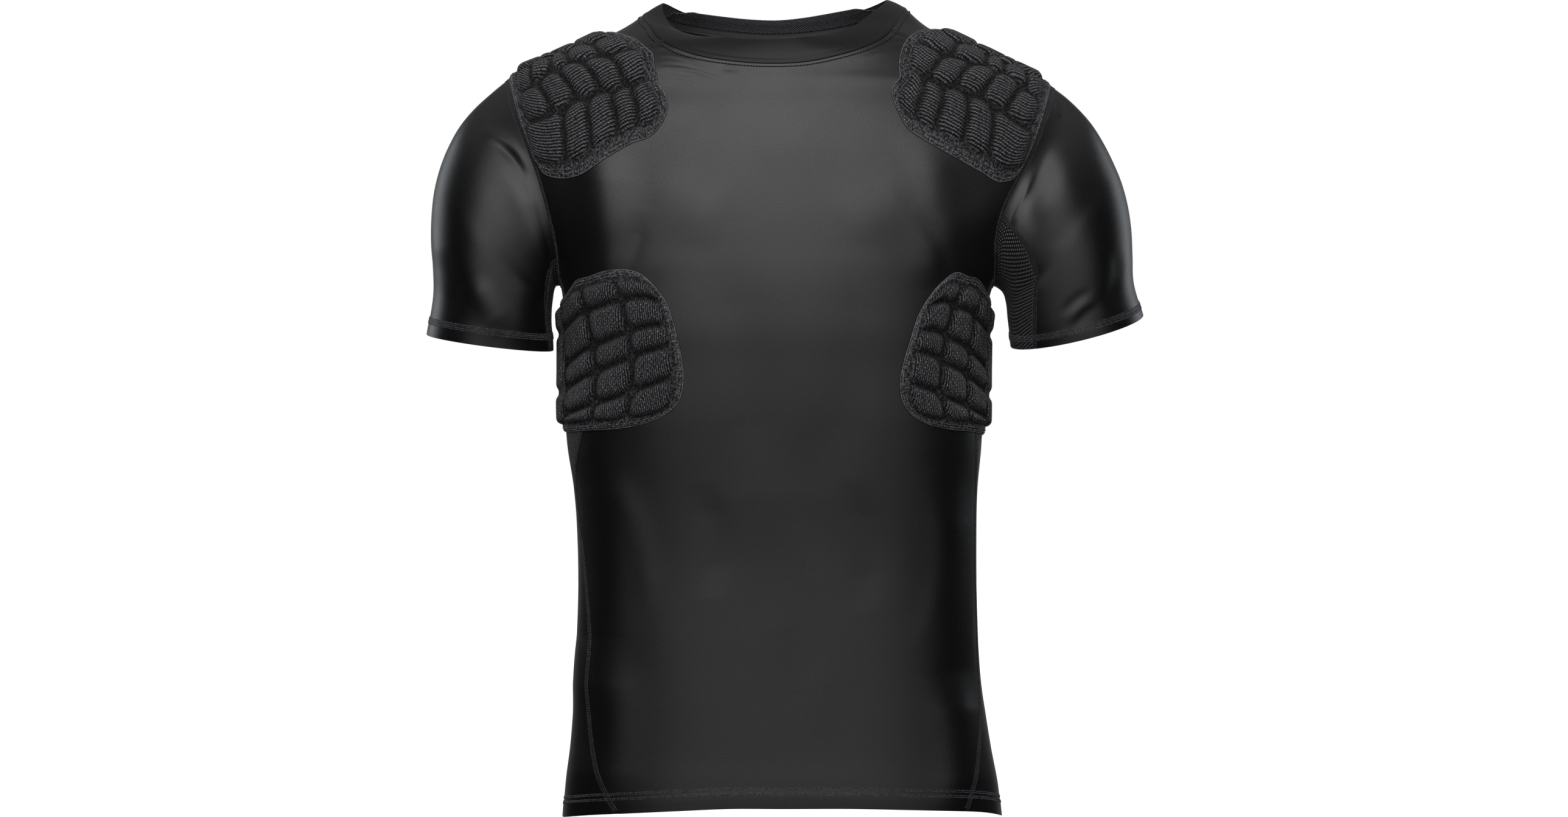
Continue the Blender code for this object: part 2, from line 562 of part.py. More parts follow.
def shoulder_layout():
    """Shares of the rows and columns of a shoulder pad, and the height of its cells at each"""
    strips = SHOULDER_STRIPS + SHOULDER_STRIPS[:-1][::-1]
    rows, heights = [0.0, SHOULDER_BORDER[1] * 0.6], [None, None]
    steps = np.arange(21.0)
    at = SHOULDER_BORDER[1]
    for width, grooves in strips:
        for part in (0.0, 0.2, 0.5, 0.8):
            rows.append(at + width * part)
            heights.append(cell_rise(part, phases(steps, grooves)))
        at += width
    rows += [at, at + SHOULDER_BORDER[1] * 0.4, at + SHOULDER_BORDER[1]]
    heights += [None, None, None]
    border = SHOULDER_BORDER[0]
    columns = np.concatenate([[0.0, border * 0.6], border + steps / 20 * (SHOULDER_LENGTH - 2 * border),
                              [SHOULDER_LENGTH - border * 0.6, SHOULDER_LENGTH]])
    rise = np.array([np.zeros(25) if h is None else np.concatenate([[0, 0], h, [0, 0]])
                     for h in heights])
    return np.array(rows) / rows[-1], columns / columns[-1], rise


def shoulder_place(side, rows, columns):
    """Angles and heights on the body under a shoulder pad's rows and columns"""
    front = armhole(side, np.linspace(SHOULDER_START[side], 168, 20), SHOULDER_INSET)
    ridge = np.array([[RIDGE, ridge_height(side, ARMHOLE_HIGH[side][0] - side * SHOULDER_INSET)]])
    outer = np.concatenate([front, ridge, flip(front)[::-1]])
    neckward = SHOULDER_NECKWARD[side]
    neckward = np.concatenate([neckward, flip(neckward)[::-1][1:]])
    lower = np.concatenate([outer[:1], SHOULDER_LOWER[side]])
    left, right = spread(outer, rows), spread(neckward, rows)
    bottom = spread(lower, columns)
    top = flip(bottom)
    u, v = columns[None, :, None], rows[:, None, None]
    near_low = np.clip(1 - v / PAD_EASE, 0, 1)**1.5
    near_high = np.clip(1 - (1 - v) / PAD_EASE, 0, 1)**1.5
    return ((1 - u) * left[:, None] + u * right[:, None]
            + near_low * (bottom[None] - (1 - u) * bottom[0] - u * bottom[-1])
            + near_high * (top[None] - (1 - u) * top[0] - u * top[-1]))


def rib_layout():
    """Shares of the rows and columns of a rib pad, and the height of its cells at each"""
    blocks = RIB_BLOCKS + [RIB_SIDE_BLOCK] + RIB_BLOCKS[::-1]
    columns, across, over_side = [0.0, RIB_BORDER[0] * 0.6], [0.0, 0.0], [False, False]
    at = RIB_BORDER[0]
    for number, (width, steps) in enumerate(blocks):
        for step in range(steps):
            part = step / steps
            columns.append(at + width * part)
            across.append(part)
            over_side.append(number == len(RIB_BLOCKS))
        at += width
    columns += [at, at + RIB_BORDER[0] * 0.4, at + RIB_BORDER[0]]
    columns = np.array(columns) / columns[-1]
    across += [0.0, 0.0, 0.0]
    over_side += [False, False, False]
    toward_side = 1 - np.abs(2 * columns - 1)
    fan = 1 + (RIB_FAN - 1) * np.clip(toward_side * 1.25, 0, 1)**1.3
    parts = np.array([0.0, 0.2, 0.5, 0.8])
    strips = np.array(RIB_STRIPS)
    share = np.concatenate([strips[i] + (strips[i + 1] - strips[i]) * parts
                            for i in range(len(strips) - 1)] + [[1.0]])
    along = phases(share, strips)
    along_side = phases(share, strips[list(RIB_SIDE_CELLS)])
    rise = np.zeros((len(share), len(columns)))
    for c, phase in enumerate(across):
        rise[:, c] = cell_rise(along_side if over_side[c] else along, phase)
    border = RIB_BORDER[1] / RIB_HEIGHT
    inner = border + (1 - 2 * border) * share[:, None]**fan[None, :]
    ends = np.array([0.0, border * 0.6])[:, None] + 0 * fan
    rows = np.concatenate([ends, inner, 1 - ends[::-1]])
    zero = np.zeros((2, len(columns)))
    return rows, columns, np.concatenate([zero, rise, zero])


def rib_place(side, rows, columns):
    """Angles and heights on the body under a rib pad's rows and columns"""
    lower, upper = RIB_LOWER[side], RIB_UPPER[side]
    lower = np.concatenate([lower, flip(lower)[::-1][1:]])
    back_upper = flip(upper)[::-1][1:]
    back_upper[:, 1] = np.minimum(back_upper[:, 1], RIB_BACK_TOP)
    upper = np.concatenate([upper, back_upper])
    bottom, top = spread(lower, columns), spread(upper, columns)
    left = np.stack([spread(RIB_FRONT[side], rows[:, c]) for c in range(len(columns))], 1)
    right = flip(left.reshape(-1, 2)).reshape(left.shape)
    u, v = columns[None, :, None], rows[..., None]
    return ((1 - u) * left + u * right + (1 - v) * bottom[None] + v * top[None]
            - (1 - u) * (1 - v) * bottom[0] - u * (1 - v) * bottom[-1]
            - (1 - u) * v * top[0] - u * v * top[-1])


def pad(name, side, places, rise, lift, turned, collection, material):
    """Closed quilted pad: cells raised in the outer points over a plain inside on the cloth"""
    rows, columns = rise.shape
    thick = np.full(rise.shape, PAD_GROOVE)
    thick[[0, -1]] = PAD_EDGE
    thick[:, [0, -1]] = PAD_EDGE
    angle, height = side * places[..., 0], places[..., 1]
    lift = PAD_LIFT + lift + 0 * rise
    outer = raised(angle, height, lift + thick + rise)
    keep_r = sorted(set(range(0, rows, 2)) | {rows - 1})
    keep_c = sorted(set(range(0, columns, 2)) | {columns - 1})
    inner = raised(angle, height, lift)[np.ix_(keep_r, keep_c)]
    points = np.concatenate([place(outer).reshape(-1, 3), place(inner).reshape(-1, 3)])
    first = rows * columns

    def out(r, c):
        return r * columns + c

    def under(r, c):
        return first + keep_r.index(r) * len(keep_c) + keep_c.index(c)

    faces = [(out(r, c), out(r, c + 1), out(r + 1, c + 1), out(r + 1, c))
             for r in range(rows - 1) for c in range(columns - 1)]
    for r0, r1 in zip(keep_r, keep_r[1:]):
        for c0, c1 in zip(keep_c, keep_c[1:]):
            faces.append((under(r1, c0), under(r1, c1), under(r0, c1), under(r0, c0)))
    for r, forward in ((0, True), (rows - 1, False)):
        for c0, c1 in zip(keep_c, keep_c[1:]):
            face = [out(r, c) for c in range(c1, c0 - 1, -1)] + [under(r, c0), under(r, c1)]
            faces.append(tuple(face if forward else face[::-1]))
    for c, forward in ((0, False), (columns - 1, True)):
        for r0, r1 in zip(keep_r, keep_r[1:]):
            face = [out(r, c) for r in range(r1, r0 - 1, -1)] + [under(r0, c), under(r1, c)]
            faces.append(tuple(face if forward else face[::-1]))
    if turned:
        faces = [face[::-1] for face in faces]
    return mesh_object(name, points, faces, collection, material)


def paint(name, colour, roughness):
    material = bpy.data.materials.new(name)
    material.use_nodes = True
    shader = material.node_tree.nodes["Principled BSDF"]
    shader.inputs["Base Color"].default_value = colour + (1.0,)
    shader.inputs["Roughness"].default_value = roughness
    material.diffuse_color = colour + (1.0,)
    return material


def build():
    for obj in list(bpy.data.objects):
        bpy.data.objects.remove(obj, do_unlink=True)
    parts = bpy.data.collections.new("padded_compression_shirt")
    bpy.context.scene.collection.children.link(parts)

    stretch_black = (0.022, 0.022, 0.024)
    mesh_black = (0.030, 0.028, 0.033)
    front_panel(parts, paint("front_fabric", stretch_black, 0.55))
    back_panel(parts, paint("back_fabric", stretch_black, 0.55))
    collar(parts, paint("collar_fabric", stretch_black, 0.55))
    neck_tape(parts, paint("tape_mesh", mesh_black, 0.8))
    shoulder_rows, shoulder_columns, shoulder_rise = shoulder_layout()
    rib_rows, rib_columns, rib_rise = rib_layout()
    for side, word in ((-1, "right"), (1, "left")):
        solid = SOLID_SIDE_STEPS[side]
        side_piece(side, "side_panel_" + word, 0, solid, parts,
                   paint("side_fabric_" + word, stretch_black, 0.55))
        side_piece(side, "side_mesh_" + word, solid, SIDE_STEPS, parts,
                   paint("side_mesh_" + word, mesh_black, 0.8))
        sleeve_pieces(side, word, parts, paint("sleeve_fabric_" + word, stretch_black, 0.55),
                      paint("gusset_mesh_" + word, mesh_black, 0.8))
        pad("shoulder_pad_" + word, side, shoulder_place(side, shoulder_rows, shoulder_columns),
            shoulder_rise, NECKWARD_LIFT * shoulder_columns**3, side > 0, parts,
            paint("shoulder_knit_" + word, mesh_black, 0.85))
        pad("rib_pad_" + word, side, rib_place(side, rib_rows, rib_columns), rib_rise,
            0.0, side < 0, parts, paint("rib_knit_" + word, mesh_black, 0.85))


build()
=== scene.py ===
import math

import bpy
import numpy as np
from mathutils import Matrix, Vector


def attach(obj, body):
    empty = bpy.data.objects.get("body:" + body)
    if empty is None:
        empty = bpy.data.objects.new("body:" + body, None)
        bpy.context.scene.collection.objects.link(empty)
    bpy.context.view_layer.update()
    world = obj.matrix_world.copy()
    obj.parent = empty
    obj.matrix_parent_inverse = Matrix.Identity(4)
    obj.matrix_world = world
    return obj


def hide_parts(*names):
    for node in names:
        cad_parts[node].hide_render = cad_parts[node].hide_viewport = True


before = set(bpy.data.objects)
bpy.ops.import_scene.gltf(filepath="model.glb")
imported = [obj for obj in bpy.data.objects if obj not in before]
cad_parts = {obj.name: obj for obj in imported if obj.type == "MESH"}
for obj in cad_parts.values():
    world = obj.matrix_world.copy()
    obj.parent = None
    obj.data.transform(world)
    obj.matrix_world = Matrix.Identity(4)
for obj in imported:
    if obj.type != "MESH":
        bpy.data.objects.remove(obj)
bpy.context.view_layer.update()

MM = 0.001
ORIGIN_HEIGHT = 700.0
CLOTH_WALL = 1.2
COLLAR_WALL = 1.6
TAPE_WALL = 0.7
SEAM_GAP = 0.5
HEM_FOLD = 0.45            # how far the doubled cloth stands out at the hem
HEM_FOLD_ENDS = (15.0, 11.5)
CUFF_FOLD = 0.4
NECK_GAP = 0.8
PAD_LIFT = 1.15            # of a pad over the cloth, then at its sewn edge, and more of it at the neck
EDGE_LIFT = 0.3
NECKWARD_LIFT = 1.0
PAD_EDGE = 1.3             # a pad's thickness at its edge and in its grooves
PAD_GROOVE = 1.6
PILLOW = 5.4               # height of a padded cell over its grooves
PILLOW_CORNER = 9.0
GROOVE_HALF = 1.2          # flat half of a groove, then how far in a cell is fully high
PILLOW_RISE = 6.5
# strength and blur passes of the painted shade that darkens the colour in a pad's grooves
GROOVE_SHADE = 2.7
SHADE_PASSES = 70
RIDGE = 90.0
CAMERA_DISTANCE = 3000.0
CAMERA_HEIGHT = 362.0
FRAME_WIDTH = 1391.0       # what the photograph takes in, level with the middle of the shirt
CREASE_BEND = 0.07         # share of a crease's length by which it bows to one side
SHOULDER_STEPS, SIDE_STEPS, SIDE_COLUMNS, SLEEVE_ROWS = 24, 150, 40, 64
KNOT = 0.0005              # radius of a net's knots in metres

# Angles go round the body in degrees: 0 at the front, 90 at the side or the shoulder ridge, 180 at the back.

# One row per level section of the body: height, low_x, high_x, front_y, back_y and squareness
BODY = np.array([
    (0, -196, 193, -114, 118, 2.4), (30, -193, 189.5, -113, 118, 2.4),
    (65, -188.5, 182.5, -110, 114, 2.4), (110, -184.7, 175.5, -107, 106, 2.4),
    (150, -182.5, 172, -105, 98, 2.4), (240, -181.4, 169.6, -104, 90, 2.35),
    (292, -184.5, 171, -107, 92, 2.35), (330, -191, 174.5, -110, 96, 2.35),
    (352, -193, 175.5, -112, 98, 2.35), (400, -193, 175.8, -115.5, 104, 2.35),
    (430, -193.2, 176.8, -117.5, 108, 2.4), (450, -194.4, 179.6, -118, 111, 2.4),
    (471, -197.6, 185.4, -118, 113.5, 2.4), (485, -204.3, 193.2, -117.5, 115, 2.4),
    (500, -214.2, 203.8, -116.5, 116.2, 2.35), (530, -238.5, 229, -114, 118, 2.3),
    (562, -260, 252, -110, 118.5, 2.2), (595, -273, 267, -105, 116, 2.1),
    (620, -270, 259, -100, 112, 2.05), (640, -257.8, 245.5, -95, 107, 2.0),
    (647, -252, 238, -93.5, 104.5, 2.0), (653.4, -245, 224.5, -92, 102, 2.0),
    (673, -199.6, 182.7, -88, 95, 2.0), (684, -174, 159.5, -85.5, 90.5, 2.0),
    (696, -147, 133, -82, 84, 2.0), (711.7, -123.7, 112.5, -77, 77, 2.0),
    (717, -119, 107.5, -75, 75, 2.0), (726, -112, 100, -72, 72, 2.0)])

# The neck seam on the body and the collar's upper edge: angle round the neck, height
NECK_SEAM = np.array([
    (-225, 704), (-180, 697), (-135, 704), (-90, 711.7), (-70, 705), (-51, 695.3), (-33, 679.3),
    (-20.8, 668.1), (-12.6, 662.7), (-0.4, 658.7), (5.6, 659.4), (18.4, 668.5), (27.6, 677.1), (42.4, 691.5),
    (62, 706), (90, 716.5), (135, 706), (180, 697), (225, 704)])
COLLAR_TOP = np.array([
    (-225, 716), (-180, 711.5), (-135, 716), (-90, 719), (-72, 704), (-60, 694), (-45, 686.6), (-20, 681.5),
    (0, 680.4), (15, 682), (31.5, 687.2), (46.7, 696.8), (61.4, 709.5), (90, 723.5), (135, 719),
    (180, 711.5), (225, 716)])
COLLAR_CENTRE = (-8.4, -7.0)
COLLAR_HALF = (100.1, 77.0)
COLLAR_ROLL = 0.9
TAPE_RISE = (0.5, 1.26)

# Lower edge of the body: angle, height
HEM = np.array([(-180, 12), (-135, 8), (-90, 1), (-44, 13), (-28, 17.3), (-13, 20.3), (0, 20.4),
                (18, 20.1), (34, 17.7), (53, 13.3), (90, 1.5), (135, 8), (180, 12)])

# Front side seams: height, angle on the side at low x, angle on the side at high x
SIDE_SEAM = np.array([
    (0, 42, 48), (13, 44, 50.5), (28.5, 47.8, 53.5), (72, 55.1, 62.5), (120, 59.4, 74.0),
    (156, 59.8, 77.0), (231, 67.9, 76.0), (296, 73.9, 76.0), (341, 61.5, 70.0), (400, 63, 67),
    (440, 68, 71), (480, 74.5, 75)])
SEAM_AT_HEM = {-1: 44.0, 1: 51.0}
MESH_START = {-1: 0.600, 1: 0.692}        # share of the seam's height where the side mesh begins

# The armhole lies in a slanted sheet from the armpit to the ridge: x and height at either end
ARMHOLE_LOW = {-1: (-197.0, 471.0), 1: (184.7, 471.0)}
ARMHOLE_HIGH = {-1: (-245.0, 653.4), 1: (238.0, 647.0)}
# How far it bows in towards the chest: share of the way up, bow at low x, bow at high x
ARMHOLE_BOW = np.array([(0, 0, 0), (0.1, 4, 5), (0.2, 7, 11), (0.35, 8, 13.5), (0.5, 7.5, 9),
                        (0.65, 5, 3.5), (0.8, 1.5, 0.8), (1, 0, 0)])
MESH_TURN = 23.0
SHOULDER_SEAM_TURN = 148.6
SHOULDER_SEAM_NECK = {-1: 33.0, 1: 42.4}

# One row per ring of a sleeve: under_x, under_z, outer_x, outer_z, front_y, back_y, drop, oval
SLEEVE = {
    -1: np.array([
        (-202, 470.9, -260.3, 640.4, -66, 70, 0, 0.12), (-203.6, 468.7, -274.9, 626.9, -68, 69.5, 0.2, 0.3),
        (-204.4, 465.5, -287.3, 611.8, -69, 69, 0.4, 0.5), (-204.9, 461.2, -297, 594.5, -69.5, 69, 0.7, 0.7),
        (-205.5, 456.3, -304.6, 575.6, -69.5, 69, 1.0, 0.85), (-206, 450.9, -310, 554, -69, 68.5, 1.4, 1),
        (-206.3, 444.4, -312.4, 531.4, -68, 68, 1.8, 1), (-206.3, 437.4, -312.7, 508.1, -66.5, 67, 2.3, 1),
        (-205.7, 429.8, -311, 485.5, -64.5, 65.5, 2.9, 1), (-205.2, 421.7, -311, 461.2, -62, 63.5, 3.6, 1),
        (-204.9, 413.6, -316.4, 428.2, -59, 61, 4.5, 1)]),
    1: np.array([
        (187.9, 470.3, 250.6, 637.2, -67, 70, 0, 0.12), (191.2, 468.2, 263.5, 624.8, -69, 69.5, 0.4, 0.3),
        (193.9, 465.5, 273.8, 612.4, -70, 69, 0.9, 0.5), (195.5, 462.2, 283.5, 596.7, -70, 69, 1.5, 0.7),
        (196.6, 457.9, 292.1, 579.4, -69.5, 69, 2.3, 0.85), (197.4, 453, 299.2, 562.1, -69, 68.5, 3.2, 1),
        (197.9, 447.7, 304.6, 542.2, -68, 68, 4.2, 1), (198.4, 441.7, 307.8, 520.6, -66.5, 67, 5.3, 1),
        (199.3, 434.2, 308.9, 497.3, -64.5, 65.5, 6.5, 1), (200.3, 425.5, 310, 473.6, -62, 63.5, 7.9, 1),
        (201.4, 416.9, 318.1, 445.5, -59, 61, 9.5, 1)])}
# Turns round the armhole to the gusset's seams in front and behind, then the same round the cuff
GUSSET = {-1: (38.7, 85.8, 16.0, 66.0), 1: (70.1, 54.4, 47.0, 32.0)}
CUFF_STITCHES = {-1: 10.6, 1: 7.0}        # lowest row of stitches above the cuff's edge

# Outlines of the pads on the cloth: angle from the front, height
SHOULDER_LOWER = {
    -1: np.array([(49.7, 564.6), (45.1, 560.6), (40.4, 562.6), (32.8, 578.4), (28.2, 589.2),
                  (24.1, 595.9), (21.8, 606.9)]),
    1: np.array([(50.1, 560.9), (46.1, 557.8), (41.0, 565.3), (32.8, 579.4), (27.3, 591.2),
                 (23.8, 602.7), (22.6, 619.1)])}
SHOULDER_NECKWARD = {
    -1: np.array([(21.8, 606.9), (20.8, 619.1), (21.9, 632.5), (24.3, 642.9), (25.2, 653.2),
                  (29.5, 665.8), (36.6, 674.9), (44.0, 681.6), (53.9, 686.7), (68.9, 691.3), (90, 693.5)]),
    1: np.array([(22.6, 619.1), (22.8, 636.8), (27.4, 652.1), (31.4, 664.8), (36.0, 674.5),
                 (41.5, 681.9), (52.8, 689.7), (71.8, 694.7), (90, 696.5)])}
SHOULDER_START = {-1: 103.0, 1: 99.0}
SHOULDER_INSET = 3.0
RIB_FRONT = {
    -1: np.array([(27.3, 361), (25.7, 364.9), (24.3, 375.6), (23.9, 386.2), (24.5, 407.5),
                  (26.2, 430.9), (29.1, 456.3), (31, 464)]),
    1: np.array([(38.5, 354.5), (36.3, 360.8), (34.5, 370.3), (34, 384.2), (34.8, 399),
                 (36.7, 420.3), (39.1, 446), (42.5, 464)])}
RIB_LOWER = {
    -1: np.array([(27.3, 361), (28.6, 357.6), (34.1, 350.1), (42.1, 345.2), (53.1, 343.5), (81, 341.5),
                  (90, 341.5)]),
    1: np.array([(38.5, 354.5), (43.9, 347.9), (49.8, 344.6), (61.8, 342.3), (80, 339.5), (90, 338.6)])}
RIB_UPPER = {
    -1: np.array([(31, 464), (32.8, 471.3), (35.5, 478.9), (39.3, 481.7), (43.4, 481.4), (51.9, 476.5),
                  (58.2, 474), (64, 467), (70, 461.5), (80, 458), (90, 457)]),
    1: np.array([(42.5, 464), (44.6, 471.8), (47.7, 479.5), (54, 476.5), (58, 475.5), (64, 470),
                 (70, 464), (80, 459.5), (90, 458)])}

# Strips of cells across a shoulder pad: width of the strip, and the grooves across it in twentieths
SHOULDER_STRIPS = [
    (32, (0, 6, 10, 14, 17, 20)),
    (27, (0, 4, 8, 12, 16, 20)),
    (24, (0, 3, 7, 10, 15, 20)),
    (21, (0, 5, 9, 14, 20)),
    (32, (0, 7, 13, 20))]
SHOULDER_BORDER = (8.0, 9.0)
SHOULDER_LENGTH = 112.0
PAD_EASE = 0.36
# Widths of the blocks of a rib pad's cells from its front edge to the side line, and its strips
RIB_BLOCKS = (34, 29, 33)
RIB_SIDE_BLOCK = 58
RIB_FAN = 2.0
RIB_STRIPS = (0.0, 0.28, 0.52, 0.68, 0.87, 1.0)
RIB_SIDE_STRIPS = (0.0, 0.52, 0.87, 1.0)
RIB_BORDER = (8.5, 8.5)
RIB_HEIGHT = 125.0
RIB_BACK_TOP = 465.0

# Creases in the body's cloth where the photograph shows them: two ends across and up, half width, height.
# Places are across the photograph's plane from its middle. A trough has a height below zero
FRONT_CREASES = [
    (-168, 606, -172, 430, 23, 4.8), (126, 600, 130, 478, 22, 2.6),
    (-172, 340, -171, 110, 24, 4.4), (-167, 150, -172, 5, 26, 6.0), (138, 300, 140, 120, 20, 2.0),
    (147, 120, 153, 6, 22, 4.8),
    (-118, 682, -82, 676, 1.2, 0.5), (-116, 675, -78, 668, 1.2, 0.45), (-112, 664, -52, 651, 1.2, 0.55),
    (-104, 657, -70, 648, 1.1, 0.3), (-112, 670, -66, 660, 1.2, 0.3), (-56, 663.5, -40, 662, 3.0, -0.6),
    (78, 686, 110, 689.5, 1.3, 0.5), (90, 681, 108, 684.5, 1.2, 0.45), (68, 672, 112, 677, 1.3, 0.4),
    (-62, 500, -30, 300, 26, -1.2), (62, 500, 34, 300, 26, -1.0), (-70, 290, -62, 200, 15, -0.9),
    (62, 290, 74, 190, 15, -0.9), (-120, 560, -60, 520, 24, 1.2), (110, 560, 55, 520, 24, 1.2),
    (-150, 300, -120, 180, 12, 0.8), (140, 280, 120, 150, 12, 0.8), (-20, 330, -8, 120, 22, 0.6),
    (20, 250, 34, 80, 18, 0.5), (-128, 532, -150, 470, 8, -1.0), (122, 536, 146, 474, 8, -1.0)]
BACK_CREASES = [
    (0, 600, 0, 200, 16, -2.0), (-90, 600, -70, 470, 28, 1.4), (90, 600, 70, 470, 28, 1.4),
    (-70, 230, -10, 190, 9, 0.9), (80, 225, 8, 175, 9, 0.9), (-60, 200, 0, 165, 8, 0.8),
    (60, 195, 0, 150, 8, 0.7), (-150, 520, -110, 460, 9, -1.0), (148, 520, 108, 456, 9, -1.0),
    (-60, 680, 60, 678, 5, 0.7), (-140, 130, -90, 60, 12, 0.8), (138, 140, 100, 50, 12, 0.8)]
# The same on the sleeves, by side, front and back
SLEEVE_CREASES = {
    (-1, "front"): [
        (-263, 608, -225, 575, 4.0, 1.3), (-258, 600, -228, 566, 3.4, -1.0), (-279, 474, -252, 430, 11, 2.0),
        (-302, 500, -290, 450, 8, -1.0), (-233, 578, -229, 430, 17, 4.0)],
    (-1, "back"): [
        (-262, 600, -222, 560, 4.5, 1.2), (-286, 480, -250, 440, 9, -2.0), (-230, 520, -222, 440, 8, -1.2)],
    (1, "front"): [
        (247, 446, 271, 466, 3.8, -0.8), (253, 440, 277, 460, 3.2, 0.9), (256, 433, 280, 452, 3.4, -0.7),
        (238, 636, 243, 622, 1.5, 1.0), (243, 634, 248, 618, 1.5, -0.8), (296, 500, 288, 456, 7, -1.4),
        (238, 612, 236, 520, 20, 1.6), (193, 602, 211, 425, 18, 6.0)],
    (1, "back"): [
        (250, 596, 218, 560, 4.5, 1.2), (290, 470, 250, 440, 7, -1.8), (262, 500, 240, 450, 6, 0.9)]}


def blend(t, low, high, low_slope, high_slope):
    """Smooth curve at a share t of the way between two values, with its slopes at either end"""
    return ((2 * t**3 - 3 * t**2 + 1) * low + (t**3 - 2 * t**2 + t) * low_slope
            + (3 * t**2 - 2 * t**3) * high + (t**3 - t**2) * high_slope)


def read(rows, at, column=1):
    """Value of a table's column at a place in its first column, rounded smoothly between the rows"""
    place, value = rows[:, 0], rows[:, column]
    at = np.clip(np.asarray(at, float), place[0], place[-1])
    slope = np.gradient(value, place)
    row = np.clip(np.searchsorted(place, at, side="right") - 1, 0, len(place) - 2)
    gap = place[row + 1] - place[row]
    return blend((at - place[row]) / gap, value[row], value[row + 1], gap * slope[row], gap * slope[row + 1])


def stack(*parts):
    """Values side by side, as the last axis of one array"""
    return np.stack(np.broadcast_arrays(*parts), -1)


def section(height):
    """Centre, half sizes and squareness of the body's level section at a height"""
    low, high, front, back, square = (read(BODY, height, c) for c in range(1, 6))
    return (low + high) / 2, (high - low) / 2, (front + back) / 2, (back - front) / 2, square


def body(angle, height):
    """Point of the body's outer face"""
    centre_x, half_x, centre_y, half_y, square = section(height)
    s, c = np.sin(np.radians(angle)), np.cos(np.radians(angle))
    r = (np.abs(s)**square + np.abs(c)**square)**(-1 / square)
    return stack(centre_x + half_x * r * s, centre_y - half_y * r * c, np.asarray(height, float))


def unit(vectors):
    return vectors / np.maximum(np.linalg.norm(vectors, axis=-1, keepdims=True), 1e-9)


def body_normal(angle, height):
    """Direction out of the body's face"""
    round_way = body(angle + 0.3, height) - body(angle - 0.3, height)
    up_way = body(angle, height + 0.5) - body(angle, height - 0.5)
    return unit(np.cross(round_way, up_way))


def raised(angle, height, out):
    """Point at a distance out of the body's face, creases included"""
    points, normals = body(angle, height), body_normal(angle, height)
    return points + normals * (np.asarray(out) + body_relief(points))[..., None]


def angle_at(x, height):
    """Angle from the front at which the body's section reaches a distance to the side"""
    centre_x, half_x, _, _, square = section(height)
    q = np.clip(np.abs(x - centre_x) / half_x, 0, 1)
    return np.degrees(np.arctan2(q, (1 - q**square)**(1 / square)))


def armhole(side, turn, inset=0.0):
    """Angle and height on the body of the armhole's seam; turn 0 is the armpit, 180 the ridge"""
    share = (1 - np.cos(np.radians(turn))) / 2
    (low_x, low_z), (high_x, high_z) = ARMHOLE_LOW[side], ARMHOLE_HIGH[side]
    height = low_z + (high_z - low_z) * share
    bow = read(ARMHOLE_BOW, share, 1 if side < 0 else 2)
    angle = angle_at(low_x + (high_x - low_x) * share - side * (bow + inset), height)
    angle = np.where((np.abs(np.mod(turn, 180.0)) < 1e-6) & (inset == 0), RIDGE, angle)
    return stack(np.where(np.mod(turn, 360.0) > 180, 180 - angle, angle), height)


def ridge_height(side, x):
    """Height of the shoulder ridge at a distance to the side"""
    height = np.linspace(ARMHOLE_HIGH[side][1] - 10, 720, 300)
    return float(np.interp(-side * x, -side * body(side * RIDGE, height)[:, 0], height))


def around(start, stop, steps):
    """Even steps from start to stop, both included"""
    return np.linspace(start, stop, steps + 1)


def side_seam(side, shares):
    """Angles and heights of a front side seam at shares of its height from the hem to the armhole"""
    top = armhole(side, np.array([MESH_TURN]))[0]
    low = read(HEM, side * SEAM_AT_HEM[side])
    height = low + (top[1] - low) * np.asarray(shares)
    angle = read(SIDE_SEAM, height, 1 if side < 0 else 2)
    ease = np.clip((height - 400) / (top[1] - 400), 0, 1)**2
    return stack(angle + ease * (top[0] - angle), height)


def flip(line):
    """The same line on the back of the body"""
    return stack(180 - line[..., 0], line[..., 1])


def to_side(side, line):
    """Angles counted from the front, turned to the side they are on"""
    return line * (side, 1)


def patch(bottom, top, left, right):
    """Places inside four border lines, worked out from the borders"""
    u, v = np.linspace(0, 1, len(bottom)), np.linspace(0, 1, len(left))
    return filled(bottom, top, left[:, None], right[:, None], u[None, :, None], v[:, None, None])


def filled(bottom, top, left, right, u, v):
    """Places at shares u across and v up between four borders"""
    return ((1 - u) * left + u * right + (1 - v) * bottom[None] + v * top[None]
            - (1 - u) * (1 - v) * bottom[0] - u * (1 - v) * bottom[-1]
            - (1 - u) * v * top[0] - u * v * top[-1])


def panel_patch(bottom, top, left, right):
    """Places inside a large panel; every row runs evenly from its left to its right border"""
    across = np.linspace(0, 1, len(bottom))[None]
    up = np.linspace(0, 1, len(left))[:, None]
    upper = ((top[:, 0] - top[0, 0]) / (top[-1, 0] - top[0, 0]))[None]
    places = patch(bottom, top, left, right)
    places[..., 0] = left[:, :1] + (right - left)[:, :1] * (across + (upper - across) * up**4)
    return places


def lengths(line):
    """Distance along a line at each of its points"""
    return np.concatenate([[0], np.cumsum(np.linalg.norm(np.diff(line, axis=0), axis=1))])


def spread(line, shares):
    """Places along a line of angles and heights, at shares of its length on the body"""
    length = lengths(body(line[:, 0], line[:, 1]))
    return stack(*(read(stack(length / length[-1], line[:, i]), shares) for i in (0, 1)))


def place(points):
    """From table millimetres to metres from the origin"""
    return (np.asarray(points) - (0, 0, ORIGIN_HEIGHT)) * MM


# Creases, grids and meshes

